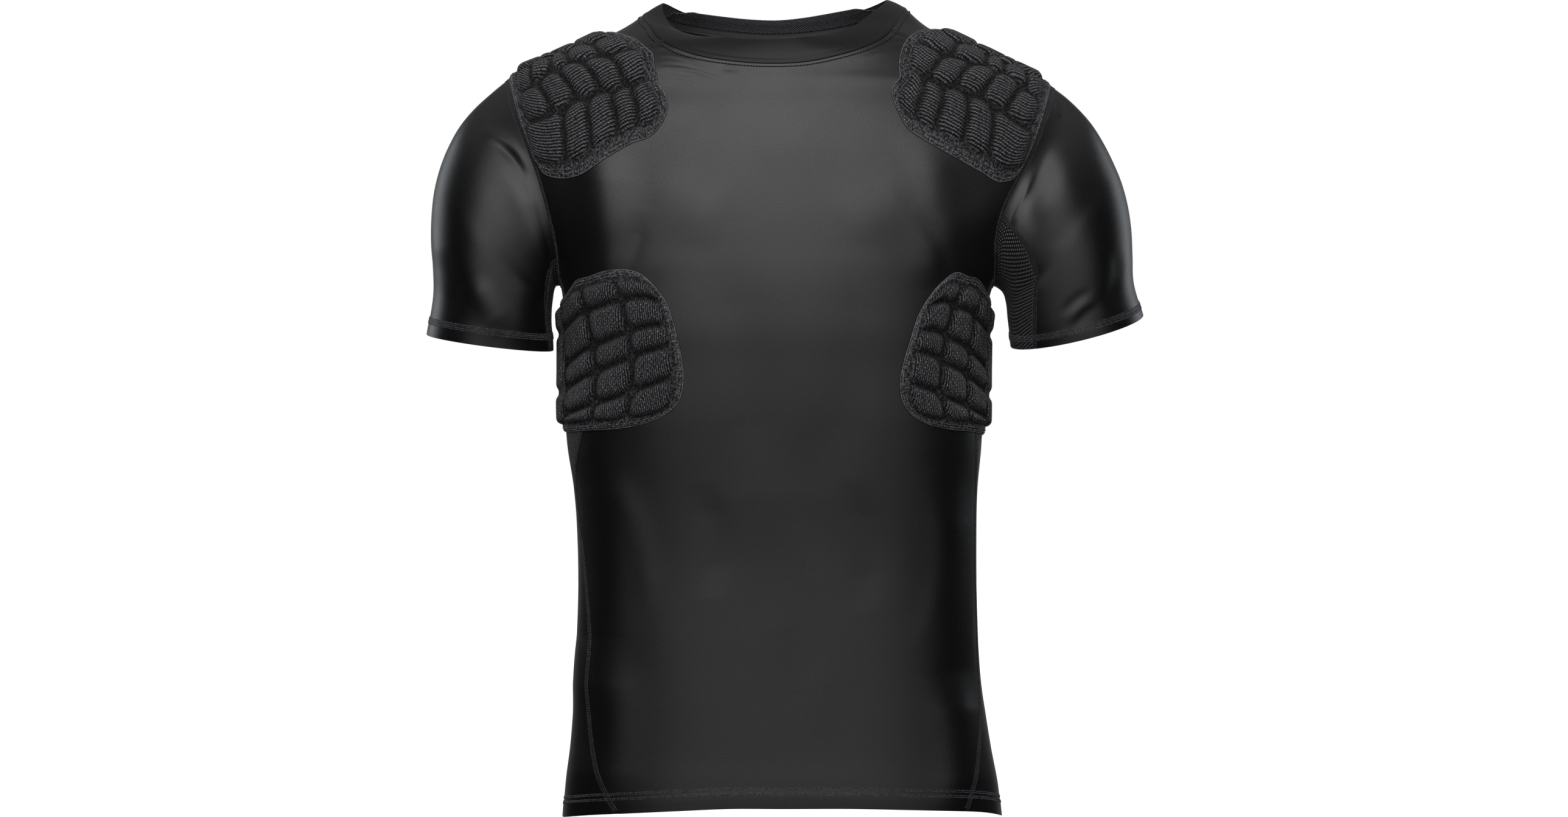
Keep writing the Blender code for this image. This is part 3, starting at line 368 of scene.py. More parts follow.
def crease_heights(points, creases, scale):
    """Height of a list of creases at points, each a soft ridge or trough that fades at its ends"""
    seen = stack(points[..., 0] * scale, CAMERA_HEIGHT + (points[..., 2] - CAMERA_HEIGHT) * scale)
    total = np.zeros(points.shape[:-1])
    for x0, z0, x1, z1, width, height in creases:
        way = np.array([x1 - x0, z1 - z0], float)
        length = np.linalg.norm(way)
        along = (seen - (x0, z0)) @ way / length**2
        bend = CREASE_BEND * length * np.sin(np.pi * np.clip(along, 0, 1))
        off = np.abs((seen - (x0, z0)) @ np.array([-way[1], way[0]]) / length - bend)
        beyond = np.maximum(np.maximum(-along, along - 1), 0) * length
        fade = np.clip(np.minimum(along, 1 - along) * 3.2 + 0.25, 0, 1)
        total += height * fade * np.exp(-(off**2 + beyond**2) / width**2)
    return total


def relief(points, front, back, calm):
    """How far cloth stands out of its plain form at points, easing off near its sides"""
    depth = points[..., 1]
    near = CAMERA_DISTANCE / (CAMERA_DISTANCE + depth)
    height = np.where(depth < 0, crease_heights(points, front, near), crease_heights(points, back, 1.0))
    return height * np.clip(np.abs(depth) / calm, 0, 1)


def body_relief(points):
    return relief(points, FRONT_CREASES, BACK_CREASES, 25)


def sleeve_relief(side, points):
    return relief(points, SLEEVE_CREASES[side, "front"], SLEEVE_CREASES[side, "back"], 18)


def pull(points, edges, distance=SEAM_GAP / 2):
    """Move edges of a grid of points in towards their neighbours, square to each edge"""
    for edge in edges.split():
        grid = points if edge in ("bottom", "top") else points.swapaxes(0, 1)
        rim, inner = (0, 1) if edge in ("bottom", "left") else (-1, -2)
        along = unit(np.gradient(grid[rim], axis=0))
        way = grid[inner] - grid[rim]
        way -= along * np.sum(way * along, axis=-1, keepdims=True)
        room = np.linalg.norm(way, axis=-1, keepdims=True)
        grid[rim] += way / np.maximum(room, 1e-9) * np.minimum(distance, 0.7 * room)


def grid_faces(rows, columns, closed=False):
    """Corner numbers of the faces of a grid of points"""
    index = np.arange(rows * columns).reshape(rows, columns)
    if closed:
        index = np.concatenate([index, index[:, :1]], 1)
    return stack(index[:-1, :-1], index[:-1, 1:], index[1:, 1:], index[1:, :-1]).reshape(-1, 4)


def gather(grids, closed=False):
    """Points and faces of several grids together"""
    faces, first = [], 0
    for grid in grids:
        faces.append(grid_faces(*grid.shape[:2], closed) + first)
        first += grid.shape[0] * grid.shape[1]
    return np.concatenate([grid.reshape(-1, 3) for grid in grids]), np.concatenate(faces)


def fabric_places(grid):
    """Distances across and up the cloth at each point of a grid, for its weave"""
    across, up = (np.linalg.norm(np.diff(grid, axis=axis), axis=-1).cumsum(axis) for axis in (1, 0))
    across, up = np.pad(across, ((0, 0), (1, 0))), np.pad(up, ((1, 0), (0, 0)))
    return stack(across - across[:, grid.shape[1] // 2][:, None], up, 0)


def corner_normals(points, faces):
    """Direction out of a surface at its points"""
    a, b, c, d = (points[faces[:, i]] for i in range(4))
    square = np.cross(c - a, d - b)
    normals = np.zeros_like(points)
    for i in range(4):
        np.add.at(normals, faces[:, i], square)
    return unit(normals)


def rim_edges(faces):
    """Directed edges that only one face has"""
    edges = np.concatenate([faces[:, [i, (i + 1) % 4]] for i in range(4)])
    edges = edges[edges[:, 0] != edges[:, 1]]
    pair = np.sort(edges, axis=1)
    _, kept, count = np.unique(pair, axis=0, return_index=True, return_counts=True)
    return edges[kept[count == 1]]


def make(name, points, faces, material, fabric=None, tone=None, rise=None, sharp=38):
    """A smooth mesh object from points in millimetres"""
    mesh = bpy.data.meshes.new(name)
    faces = faces.tolist() if isinstance(faces, np.ndarray) else faces
    mesh.from_pydata(place(points).tolist(), [], [tuple(dict.fromkeys(f)) for f in faces])
    for label, kind, key, values in (("fabric", "FLOAT_VECTOR", "vector", fabric),
                                     ("tone", "FLOAT", "value", tone), ("rise", "FLOAT", "value", rise)):
        if values is not None:
            layer = mesh.attributes.new(label, kind, "POINT")
            values = values * MM if label == "fabric" else values
            layer.data.foreach_set(key, values.astype(np.float32).ravel())
    mesh.materials.append(material)
    mesh.shade_smooth()
    if sharp:
        mesh.set_sharp_from_angle(angle=math.radians(sharp))
    obj = bpy.data.objects.new(name, mesh)
    bpy.context.scene.collection.objects.link(obj)
    return obj


def walled(name, grids, material, inside=None, wall=CLOTH_WALL, bulge=0.35, closed=False):
    """Closed cloth: an outer face, an inner face one wall below it, and a rounded rim"""
    points, faces = gather(grids, closed)
    _, kept, number = np.unique(np.round(points, 3), axis=0, return_index=True, return_inverse=True)
    points, faces = points[kept], number.reshape(-1)[faces]
    fabric = np.concatenate([fabric_places(grid).reshape(-1, 3) for grid in grids])[kept]
    normals = corner_normals(points, faces)
    inner = points - normals * wall
    rim = rim_edges(faces)
    a, b = rim[:, 0], rim[:, 1]
    outward = np.zeros_like(points)
    for end in (a, b):
        np.add.at(outward, end, unit(np.cross(points[b] - points[a], normals[a])))
    on_rim = np.unique(rim)
    middle = (points[on_rim] + inner[on_rim]) / 2 + unit(outward[on_rim]) * bulge * wall
    count = len(points)
    number = np.zeros(count, int)
    number[on_rim] = 2 * count + np.arange(len(on_rim))
    all_faces = np.concatenate([faces, faces[:, ::-1] + count, stack(b, a, number[a], number[b]),
                                stack(number[b], number[a], a + count, b + count)])
    piece = make(name, np.concatenate([points, inner, middle]), all_faces, material,
                 fabric=np.concatenate([fabric, fabric, fabric[on_rim]]))
    if inside:
        piece.data.materials.append(inside)
        under = np.zeros(len(all_faces), np.int32)
        under[len(faces):2 * len(faces)] = 1
        piece.data.polygons.foreach_set("material_index", under)
    return piece


# Threads, seams and beads

def resample(points, outs, pitch):
    """Points and directions out of the cloth at even steps along a line, near a pitch"""
    at = lengths(points)
    spots = np.linspace(0, at[-1], max(2, int(round(at[-1] / pitch))) + 1)
    line, out = (stack(*(np.interp(spots, at, values[:, i]) for i in range(3))) for values in (points, outs))
    return line, unit(out)


def shifted(line, out, across, up):
    """A line moved across the cloth and out of it"""
    along = unit(np.gradient(line, axis=0))
    return line + unit(np.cross(out, along)) * across + out * up


class Threads:
    """Short lengths of thread, thin at both ends, gathered into one mesh"""

    FACES = [(0, 2, 1), (0, 3, 2), (0, 4, 3), (0, 1, 4), (9, 5, 6), (9, 6, 7), (9, 7, 8), (9, 8, 5),
             (1, 2, 6, 5), (2, 3, 7, 6), (3, 4, 8, 7), (4, 1, 5, 8)]

    def __init__(self, seed):
        self.random = np.random.default_rng(seed)
        self.points, self.faces, self.tones, self.count = [], [], [], 0

    def add(self, starts, ends, outs, radius, tone, bow=0.16):
        """Threads from starts to ends, their middles bowed out of the cloth, tones within a range"""
        count, way = len(starts), ends - starts
        side = unit(np.cross(outs, unit(way)))
        up = np.cross(unit(way), side)
        turn = np.radians([45, 135, 225, 315])[None, :, None]
        ring = np.cos(turn) * side[:, None] + np.sin(turn) * up[:, None]
        points = np.empty((count, 10, 3))
        points[:, 0], points[:, 9] = starts - outs * 0.1, ends - outs * 0.1
        for first, share in ((1, 0.26), (5, 0.74)):
            points[:, first:first + 4] = (starts + way * share + outs * bow)[:, None] + ring * radius
        base = self.count + np.arange(count) * 10
        for face in self.FACES:
            self.faces += (base[:, None] + np.array(face)).tolist()
        self.points.append(points.reshape(-1, 3))
        self.tones.append(np.repeat(self.random.uniform(*tone, count), 10))
        self.count += count * 10

    def row(self, points, outs, pitch, up, gap, **look):
        """One row of running stitches along a line"""
        line, out = resample(points, outs, pitch)
        line = line + out * up
        a, b = line[:-1], line[1:]
        self.add(a + (b - a) * gap / 2, b - (b - a) * gap / 2, unit(out[:-1] + out[1:]), **look)

    def chain(self, points, outs, pitch, across=0.0, slant=0.5, up=0.05, **look):
        """One row of fat slanted stitches beside a line"""
        line, out = resample(points, outs, pitch)
        low, high = (shifted(line, out, across + off, up) for off in (-slant, slant))
        ends = high[:-1] + 0.85 * (high[1:] - high[:-1])
        self.add(low[:-1], ends, unit(out[:-1] + out[1:]), **look)

    def flatlock(self, points, outs, pitch=1.95, half=2.0, up=0.2):
        """Two chains of stitches with darker thread crossing between them"""
        self.chain(points, outs, pitch, -half, 0.55, up, radius=0.33, tone=(0.1, 0.6))
        self.chain(points, outs, pitch, half, -0.55, up, radius=0.33, tone=(0.1, 0.6))
        line, out = resample(points, outs, pitch)
        low, high = (shifted(line, out, across, up - 0.05) for across in (0.6 - half, half - 0.6))
        self.add(low[:-1], high[1:], unit(out[:-1] + out[1:]), radius=0.3, tone=(0.05, 0.3))

    def finish(self, name, material):
        return make(name, np.concatenate(self.points), self.faces, material,
                    tone=np.concatenate(self.tones), sharp=None)


def seam_band(name, runs, width, rise, material):
    """Low raised strips of overlocked thread along lines of points and directions out"""
    profile = np.array([(-0.5, -0.35), (-0.47, 0.25), (-0.25, 0.85), (0, 1.0), (0.25, 0.85), (0.47, 0.25),
                        (0.5, -0.35)])
    grids, fabric = [], []
    for run in runs:
        line, out = resample(*run, 1.3)
        grids.append(np.array([shifted(line, out, width * x, rise * y) for x, y in profile]))
        fabric.append(stack(lengths(line), width * profile[:, :1], 0).reshape(-1, 3))
    points, faces = gather(grids)
    return make(name, points, faces[:, ::-1], material, fabric=np.concatenate(fabric), sharp=None)


def beads(name, runs, radius, material, seed):
    """Thin round cords along closed or open lines"""
    random = np.random.default_rng(seed)
    turn = np.radians([0, 60, 120, 180, 240, 300])[None, :, None]
    grids, tones = [], []
    for run in runs:
        line, out = resample(*run, 1.6)
        side = unit(np.cross(out, unit(np.gradient(line, axis=0))))
        grids.append(line[:, None] + radius * (np.cos(turn) * side[:, None] + np.sin(turn) * out[:, None]))
        tones.append(np.repeat(np.convolve(random.uniform(0, 1, len(line) + 6), np.ones(7) / 7, "valid"), 6))
    points, faces = gather(grids, closed=True)
    return make(name, points, faces, material, tone=np.concatenate(tones), sharp=None)


# Materials

class Value:
    """An output of a node that can be reckoned with like a number"""

    def __init__(self, nodes, socket):
        self.nodes, self.socket = nodes, socket


for method, operation in (("__add__", "ADD"), ("__sub__", "SUBTRACT"), ("__mul__", "MULTIPLY"),
                          ("__truediv__", "DIVIDE"), ("__mod__", "FLOORED_MODULO"), ("__pow__", "POWER"),
                          ("__abs__", "ABSOLUTE")):
    setattr(Value, method, lambda self, *other, kind=operation: self.nodes.math(kind, self, *other))


class Nodes:
    """Nodes of a material or of the world"""

    def __init__(self, owner):
        owner.use_nodes = True
        self.tree = owner.node_tree

    def node(self, kind, inputs=(), output=0, **settings):
        """Output of a new node with settings and inputs"""
        node = self.tree.nodes.new("ShaderNode" + kind)
        for setting, value in settings.items():
            setattr(node, setting, value)
        for socket, value in inputs:
            self.put(node.inputs[socket], value)
        return Value(self, node.outputs[output])

    def put(self, socket, value):
        if isinstance(value, Value):
            self.tree.links.new(value.socket, socket)
        else:
            socket.default_value = (*value, 1.0) if socket.type == "RGBA" else value

    def math(self, operation, *values):
        return self.node("Math", list(enumerate(values)), operation=operation)

    def step(self, value, low, high, start=0.0, stop=1.0):
        """Smooth change from start to stop while value goes from low to high"""
        return self.node("MapRange", [("Value", value), ("From Min", low), ("From Max", high),
                                      ("To Min", start), ("To Max", stop)], interpolation_type="SMOOTHSTEP")


class Finish(Nodes):
    """One material's nodes, written as sums of the cloth's own places in metres"""

    def __init__(self, name, roughness, specular, sheen, sheen_roughness=0.4):
        self.material = bpy.data.materials.new(name)
        super().__init__(self.material)
        self.surface = self.tree.nodes["Principled BSDF"].inputs
        for socket, value in (("Roughness", roughness), ("Specular IOR Level", specular),
                              ("Sheen Weight", sheen), ("Sheen Roughness", sheen_roughness)):
            self.surface[socket].default_value = value

    def own(self, name, output="Fac"):
        """A value that the mesh carries at its points"""
        return self.node("Attribute", output=output, attribute_name=name)

    def places(self):
        """Distances along and across the cloth, and the two as a vector"""
        vector = self.own("fabric", "Vector")
        return *(self.node("SeparateXYZ", [(0, vector)], axis) for axis in (0, 1)), vector

    def noise(self, vector, scale, detail=2.0, stretch=(1, 1, 1)):
        mapped = self.node("Mapping", [("Vector", vector), ("Scale", stretch)])
        return self.node("TexNoise", [("Vector", mapped), ("Scale", scale), ("Detail", detail)])

    def mix(self, share, low, high):
        """Colour between two colours"""
        return self.node("Mix", [(0, share), (6, low), (7, high)], 2, data_type="RGBA")

    def wave(self, value, size):
        """A rounded rib across each step of a size: 0 between two ribs, 1 on top"""
        return abs(self.math("SINE", value * (math.pi / size)))

    def odd(self, value):
        """Half a step for every second whole number"""
        return self.math("FLOOR", value) % 2.0 * 0.5

    def to_spot(self, across, up, wide, tall, squeeze=1.0):
        """Distance to the nearest of even spots, every second row moved by half a step"""
        row = up / tall
        x = (self.math("FRACT", across / wide + self.odd(row)) - 0.5) * wide
        y = (self.math("FRACT", row) - 0.5) * (tall * squeeze)
        return self.math("SQRT", x**2.0 + y**2.0)

    def finish(self, colour, height, depth, roughness=None):
        """The material, with the height as a bump of a depth in metres"""
        self.put(self.surface["Base Color"], colour)
        if roughness:
            self.put(self.surface["Roughness"], roughness)
        bump = self.node("Bump", [("Height", height), ("Distance", depth), ("Strength", 1.0)])
        self.put(self.surface["Normal"], bump)
        return self.material


def stretch_fabric(name, low, high, rough, specular):
    """Smooth black stretch knit: fine upright wales, a little cloudy, with a satin shine"""
    look = Finish(name, rough, specular, 0.03, 0.35)
    across, _, vector = look.places()
    grain = look.noise(vector, 1400, 2.0, (1, 0.8, 1))
    fine = look.step(grain * 0.5 + look.noise(vector, 2300, 1.0) * 0.5, 0.36, 0.64)
    cloud = look.noise(vector, 14, 3.0)
    shine = (look.step(fine, 0.0, 1.0, rough + 0.06, rough - 0.06) + look.step(cloud, 0.3, 0.7, 0.0, 0.04)
             + look.step(look.noise(vector, 1100, 1.0), 0.35, 0.65, 0.02, -0.02))
    return look.finish(look.mix(fine * 0.8 + cloud * 0.2, low, high),
                       look.wave(across, 0.00085) * 0.12 + grain * 0.88, 0.0001, shine)


def net(name, wide, tall, thread, knot_highlight, hole_shade, share=1.0):
    """Warp-knit net: rows of round knots half a step apart, coloured light as a painted highlight, and holes
    between them coloured dark as painted shade.
    Steps in metres, and the share of the distance across that counts"""
    look = Finish(name, 0.6, 0.4, 0.08)
    across, up, vector = look.places()
    reach = look.to_spot(across * share, up + look.noise(vector, 90, 1.0) * (tall * 0.3), wide, tall)
    # painted highlight: the knots are coloured light; painted shade: the holes around them are coloured dark
    dot = look.step(reach, KNOT * 0.5, KNOT * 1.3, 1.0, 0.0)
    gap = look.step(reach, KNOT * 1.3, KNOT * 2.4)
    fuzz = look.noise(vector, 1500)
    colour = look.mix(gap * look.step(fuzz, 0.2, 0.8, 0.5, 1.0), thread, hole_shade)
    colour = look.mix(dot * look.step(fuzz, 0.3, 0.7, 0.45, 1.0), colour, knot_highlight)
    return look.finish(colour, dot + fuzz * 0.3 - gap, 0.0003)


def pad_knit(name, size, dash, flecks, dots=None):
    """Heavy ribbed warp knit over the pillows, a flat fuzzy knit in the grooves and on the border.
    Ribs are a size apart, their stitches a dash long; dots gives the steps of rows of pale dots"""
    look = Finish(name, 0.5, 0.3, 0.05, 0.5)
    along, across, vector = look.places()
    rise, painted_shade = look.own("rise"), look.own("tone")
    bent = across + look.noise(vector, 45) * 0.0035
    number = bent / size
    slanted = along / dash + (look.odd(number) + look.math("FRACT", number) * 0.9)
    ribs = look.wave(bent, size)**1.1 * (look.wave(slanted, 1.0) * 0.5 + 0.5)
    fuzz, coarse = look.noise(vector, 1100, 3.0), look.noise(vector, 420)
    flat = look.noise(vector, 700, 2.0, (1, 0.55, 1)) * 0.8 + coarse * 0.3
    height = look.node("Mix", [(0, look.step(rise, 0.12, 0.4)), (2, flat), (3, ribs)]) + fuzz * 0.25
    # partly painted highlight and painted shade: the knit is coloured lighter on the tops of its ribs and
    # darker between them by bump height, with a yarn tone that varies at random
    yarn_tone_and_painted_highlight = look.step(height * look.step(coarse, 0.3, 0.7, 0.6, 1.15), 0.38, 0.95)
    colour = look.mix(yarn_tone_and_painted_highlight, (0.0017, 0.0016, 0.0019), (0.125, 0.12, 0.133))
    fleck = look.step(fuzz, 0.53, 0.64) * look.step(height, 0.6, 0.95)
    colour = look.mix(fleck * flecks, colour, (0.42, 0.41, 0.44))
    if dots:
        dot = look.step(look.to_spot(across, along, *dots, 0.7), 0.0002, 0.00055, 1.0, 0.0)
        dot = dot * look.step(rise, 0.5, 0.9) * look.step(coarse, 0.35, 0.6, 0.3, 1.0)
        colour = look.mix(dot, colour, (0.4, 0.39, 0.43))
    # painted shade: the colour is darkened towards near-black in the grooves between the cells
    colour = look.mix(painted_shade * 0.85, colour, (0.0008, 0.0008, 0.001))
    return look.finish(colour, height, 0.001, look.step(height, 0.3, 1.0, 0.7, 0.4) + painted_shade * 0.3)


def thread(name, low, high, roughness=0.6, specular=0.45, sheen=0.2):
    """Twisted thread, a little lighter or darker from one stitch to the next"""
    look = Finish(name, roughness, specular, sheen)
    twist = look.noise(look.node("TexCoord", output="Object"), 2600, 1.0)
    share = look.own("tone") * look.step(twist, 0.25, 0.75, 0.6, 1.1)
    return look.finish(look.mix(share, low, high), twist, 0.00012)


def overlock(name):
    """Overlocked seam: threads that cross from side to side over dark cloth"""
    look = Finish(name, 0.62, 0.42, 0.15)
    along, across, vector = look.places()
    swing = abs(look.math("FRACT", along / 0.0021) * 2.0 - 1.0)
    line = look.step(abs(swing - (across / 0.0052 + 0.5)), 0.05, 0.24, 1.0, 0.0)
    fuzz = look.noise(vector, 1700)
    colour = look.mix(line * look.step(fuzz, 0.3, 0.7, 0.3, 1.0), (0.004, 0.004, 0.005),
                      (0.014, 0.0145, 0.017))
    return look.finish(colour, line + fuzz * 0.5, 0.0003)


# Pieces

def smooth(value, low, high):
    """Smooth change from 0 at low to 1 at high"""
    t = np.clip((value - low) / (high - low), 0, 1)
    return t * t * (3 - 2 * t)


def signed(angle):
    return np.where(angle > 180, angle - 360, angle)


def hem_step(angle, height):
    """The doubled cloth of the hem stands out a little below its stitches"""
    return HEM_FOLD * smooth(height - read(HEM, signed(angle)), *HEM_FOLD_ENDS)


def body_cloth(places):
    angle, height = places[..., 0], places[..., 1]
    return raised(angle, height, hem_step(angle, height))


def at_neck(angle, below=0.0):
    """Places on the neck's seam, or a distance below it"""
    return stack(angle, read(NECK_SEAM, signed(angle)) - below)


def at_hem(first, last, count):
    """Places along the hem from one place to another"""
    angle = np.linspace(first[0], last[0], count)
    line = stack(angle, read(HEM, signed(angle)))
    line[0], line[-1] = first, last
    return line


def shoulder_seam(side, steps=SHOULDER_STEPS):
    """Forward shoulder seam from the armhole to the neck"""
    low = armhole(side, np.array([SHOULDER_SEAM_TURN]))[0]
    angle = SHOULDER_SEAM_NECK[side]
    high = np.array([angle, read(NECK_SEAM, side * angle)])
    line = to_side(side, low + (high - low) * np.linspace(0, 1, 40)[:, None])
    return spread(line, around(0, 1, steps))


def ridge_places(side, angle):
    """Places up a shoulder ridge from the armhole to the neck, with its angle counted as given"""
    height = np.linspace(ARMHOLE_HIGH[side][1], float(read(NECK_SEAM, side * RIDGE)), 40)
    return stack(angle, spread(stack(side * RIDGE, height), around(0, 1, SHOULDER_STEPS))[:, 1])


def front_panel(material):
    left, right = (to_side(side, np.concatenate([
        side_seam(side, around(0, 1, SIDE_STEPS)),
        armhole(side, around(MESH_TURN, SHOULDER_SEAM_TURN, 100)[1:])])) for side in (-1, 1))
    neck = at_neck(around(-SHOULDER_SEAM_NECK[-1], SHOULDER_SEAM_NECK[1], 88))
    top = np.concatenate([shoulder_seam(-1)[:-1], neck, shoulder_seam(1)[::-1][1:]])
    points = body_cloth(panel_patch(at_hem(left[0], right[0], len(top)), top, left, right))
    pull(points, "top left right")
    return walled("front_panel_cloth", [points], material, inside)


def back_panel(material):
    sides = {}
    for side in (-1, 1):
        line = to_side(side, np.concatenate([flip(side_seam(side, around(0, 1, 100))),
                                             armhole(side, around(360 - MESH_TURN, 180, 72)[1:])]))
        sides[side] = stack(np.mod(line[:, 0], 360), line[:, 1])
    left, right = sides[1], sides[-1]
    top = np.concatenate([ridge_places(1, RIDGE)[:-1], at_neck(around(RIDGE, 360 - RIDGE, 76)),
                          ridge_places(-1, 360 - RIDGE)[::-1][1:]])
    points = body_cloth(panel_patch(at_hem(left[0], right[0], len(top)), top, left, right))
    pull(points[:, SHOULDER_STEPS:-SHOULDER_STEPS], "top")
    pull(points, "left right")
    grids = [points]
    for side in (-1, 1):
        outer = to_side(side, armhole(side, around(180, SHOULDER_SEAM_TURN, 16)))
        inner = at_neck(around(RIDGE, SHOULDER_SEAM_NECK[side], 16) * side)
        wedge = body_cloth(patch(ridge_places(side, side * RIDGE), shoulder_seam(side), outer, inner))
        pull(wedge, "top left right")
        wedge[0] = points[-1, :SHOULDER_STEPS + 1] if side > 0 else points[-1, -SHOULDER_STEPS - 1:][::-1]
        grids.append(wedge if side > 0 else wedge[:, ::-1])
    return walled("back_panel_cloth", grids, material, inside)


def side_piece(side, name, start, stop, rows, material, lining):
    """Panel at the side of the body, from one share of the side seam's height to another"""
    front = side_seam(side, around(start, stop, rows))
    back = flip(front)
    low, high = (np.linspace(front[end], back[end], SIDE_COLUMNS + 1) for end in (0, -1))
    if start == 0:
        low[1:-1, 1] = read(HEM, side * low[1:-1, 0])
    if stop == 1:
        high = armhole(side, around(MESH_TURN, -MESH_TURN, SIDE_COLUMNS))
    points = body_cloth(patch(low, high, front, back) * (side, 1))
    pull(points, "left right bottom top" if start else "left right top")
    return walled(name, [points if side > 0 else points[:, ::-1]], material, lining)


def sleeve_grid(side, turns):
    """Points of the sleeve's outer face and directions out of it, a row per step from armhole to cuff"""
    front, back, front_cuff, back_cuff = GUSSET[side]
    cuff_turns = np.interp(turns, [-back, 0, front, 180, 360 - back, 360],
                           [-back_cuff, 0, front_cuff, 180, 360 - back_cuff, 360])
    full = np.mod(turns, 360)
    start = to_side(side, armhole(side, full)).T
    first = body(*start)
    (low_x, _), (high_x, _) = ARMHOLE_LOW[side], ARMHOLE_HIGH[side]
    off_x = first[:, 0] - (low_x + (high_x - low_x) * (1 - np.cos(np.radians(full))) / 2)
    depths = body(*armhole(side, np.linspace(0, 359, 120)).T)[:, 1]
    middle, reach = (depths.min() + depths.max()) / 2, (depths.max() - depths.min()) / 2
    shape = (first[:, 1] - middle) / reach
    rings = [first + (side * SEAM_GAP / 2, 0, 0)]
    for number, row in enumerate(SLEEVE[side]):
        under_x, under_z, outer_x, outer_z, front_y, back_y, drop, oval = row
        turn = turns + (cuff_turns - turns) * (number + 1) / len(SLEEVE[side])
        share, sine = (1 - np.cos(np.radians(turn))) / 2, np.sin(np.radians(turn))
        depth = ((1 - oval) * np.where(shape < 0, -shape * front_y, shape * back_y)
                 + oval * np.where(sine > 0, sine * front_y, -sine * back_y))
        rings.append(stack(under_x + (outer_x - under_x) * share + off_x * (1 - oval), depth,
                           under_z + (outer_z - under_z) * share - drop * sine))
    rings = np.array(rings)
    at, slope = np.linspace(0, len(rings) - 1, SLEEVE_ROWS + 1), np.gradient(rings, axis=0)
    ring = np.clip(at.astype(int), 0, len(rings) - 2)
    points = blend((at - ring)[:, None, None], rings[ring], rings[ring + 1], slope[ring], slope[ring + 1])
    out = unit(np.cross(np.gradient(points, axis=1), np.gradient(points, axis=0))) * -side
    to_cuff = np.linalg.norm(np.diff(points, axis=0), axis=-1)[::-1].cumsum(0)[::-1]
    to_cuff = np.concatenate([to_cuff, np.zeros((1, len(turns)))])
    fold = CUFF_FOLD * smooth(to_cuff, CUFF_STITCHES[side] + 5.4, CUFF_STITCHES[side] + 1.9)
    from_armhole = to_cuff[0] - to_cuff
    points = points + out * (fold + sleeve_relief(side, points) * smooth(from_armhole, 0, 12))[..., None]
    shared = body_normal(*start) * body_relief(first)[:, None]
    points += shared[None] * (1 - smooth(from_armhole, 0, 24))[..., None]
    return points, out, to_cuff


def sleeve_pieces(side, word, material, net_material):
    """A sleeve and its gusset"""
    front, back, *_ = GUSSET[side]
    made = []
    for name, turns, finish, lining in (("sleeve_", around(front, 360 - back, 110), material, inside),
                                        ("sleeve_gusset_", around(-back, front, 44), net_material, None)):
        points = sleeve_grid(side, turns)[0]
        pull(points, "left right")
        made.append(walled(name + word + "_cloth", [points if side < 0 else points[:, ::-1]], finish, lining))
    return made


def collar_points(angle, share, out):
    """Points of the collar's outer face at a share of its height, moved out by a distance"""
    turn = signed(angle)
    low = body(turn, read(NECK_SEAM, turn))
    s, c = np.sin(np.radians(turn)), np.cos(np.radians(turn))
    up = stack(COLLAR_CENTRE[0] + COLLAR_HALF[0] * s, COLLAR_CENTRE[1] - COLLAR_HALF[1] * c,
               read(COLLAR_TOP, turn)) - low
    normal = unit(np.cross(stack(c, s * 0.9, 0), up))
    roll = COLLAR_ROLL * 4 * np.clip(share, 0, 1) * (1 - np.clip(share, 0, 1))
    return low + up * stack(share) + normal * stack(roll + out)


def collar(material):
    turn = signed(np.mod(around(180, 540, 220)[:-1], 360))
    shares = np.concatenate([around(0, 0.3, 9), around(0.3, 1, 9)[1:]])
    bends = 1.3 * np.exp(-((turn + 27) / 8)**2) + 1.1 * np.exp(-((turn - 13) / 8)**2)
    points = np.array([collar_points(turn, share, 0.35 * smooth(share, 0.2, 0.12)
                                     + bends * smooth(share, 0.0, 0.35)) for share in shares])
    pull(points, "bottom", NECK_GAP - SEAM_GAP / 2)
    return walled("collar_band", [points], material, collar_inside_painted_light, COLLAR_WALL, 0.5, closed=True)


def neck_tape(material):
    angle = around(117, 243, 120)
    low, high = TAPE_RISE
    sunk = 0.42 * smooth(np.minimum(angle - angle[0], angle[-1] - angle), 13, 0)
    points = np.array([collar_points(angle, low + (high - sunk - low) * share, -(COLLAR_WALL + 0.75))
                       for share in np.linspace(0, 1, 9)])
    return walled("neck_tape_net", [points], material, wall=TAPE_WALL)


def pillow(off_x, off_y, half_x, half_y):
    """Height of a padded cell at distances from its middle: flat at its groove, rounded over the top"""
    corner = np.minimum(PILLOW_CORNER, np.minimum(half_x, half_y) * 0.85)
    qx, qy = np.abs(off_x) - (half_x - corner), np.abs(off_y) - (half_y - corner)
    beyond = np.hypot(np.maximum(qx, 0), np.maximum(qy, 0)) + np.minimum(np.maximum(qx, qy), 0) - corner
    inward = np.clip((-beyond - GROOVE_HALF) / PILLOW_RISE, 0, 1)
    return PILLOW * (1 - (1 - inward)**2.2)**0.65


def with_cell(rise, x, y, left, right, low, high):
    """Heights of the cells with one more cell between four borders"""
    cell = (x >= left) & (x < right) & (y >= low) & (y < high)
    height = pillow(x - (left + right) / 2, y - (low + high) / 2, (right - left) / 2, (high - low) / 2)
    return np.where(cell, height, rise)


def between(value, first, last, room):
    """1 between two ends, falling smoothly to 0 over some room inside either"""
    return smooth(value, first, first + room) * smooth(value, last, last - room)


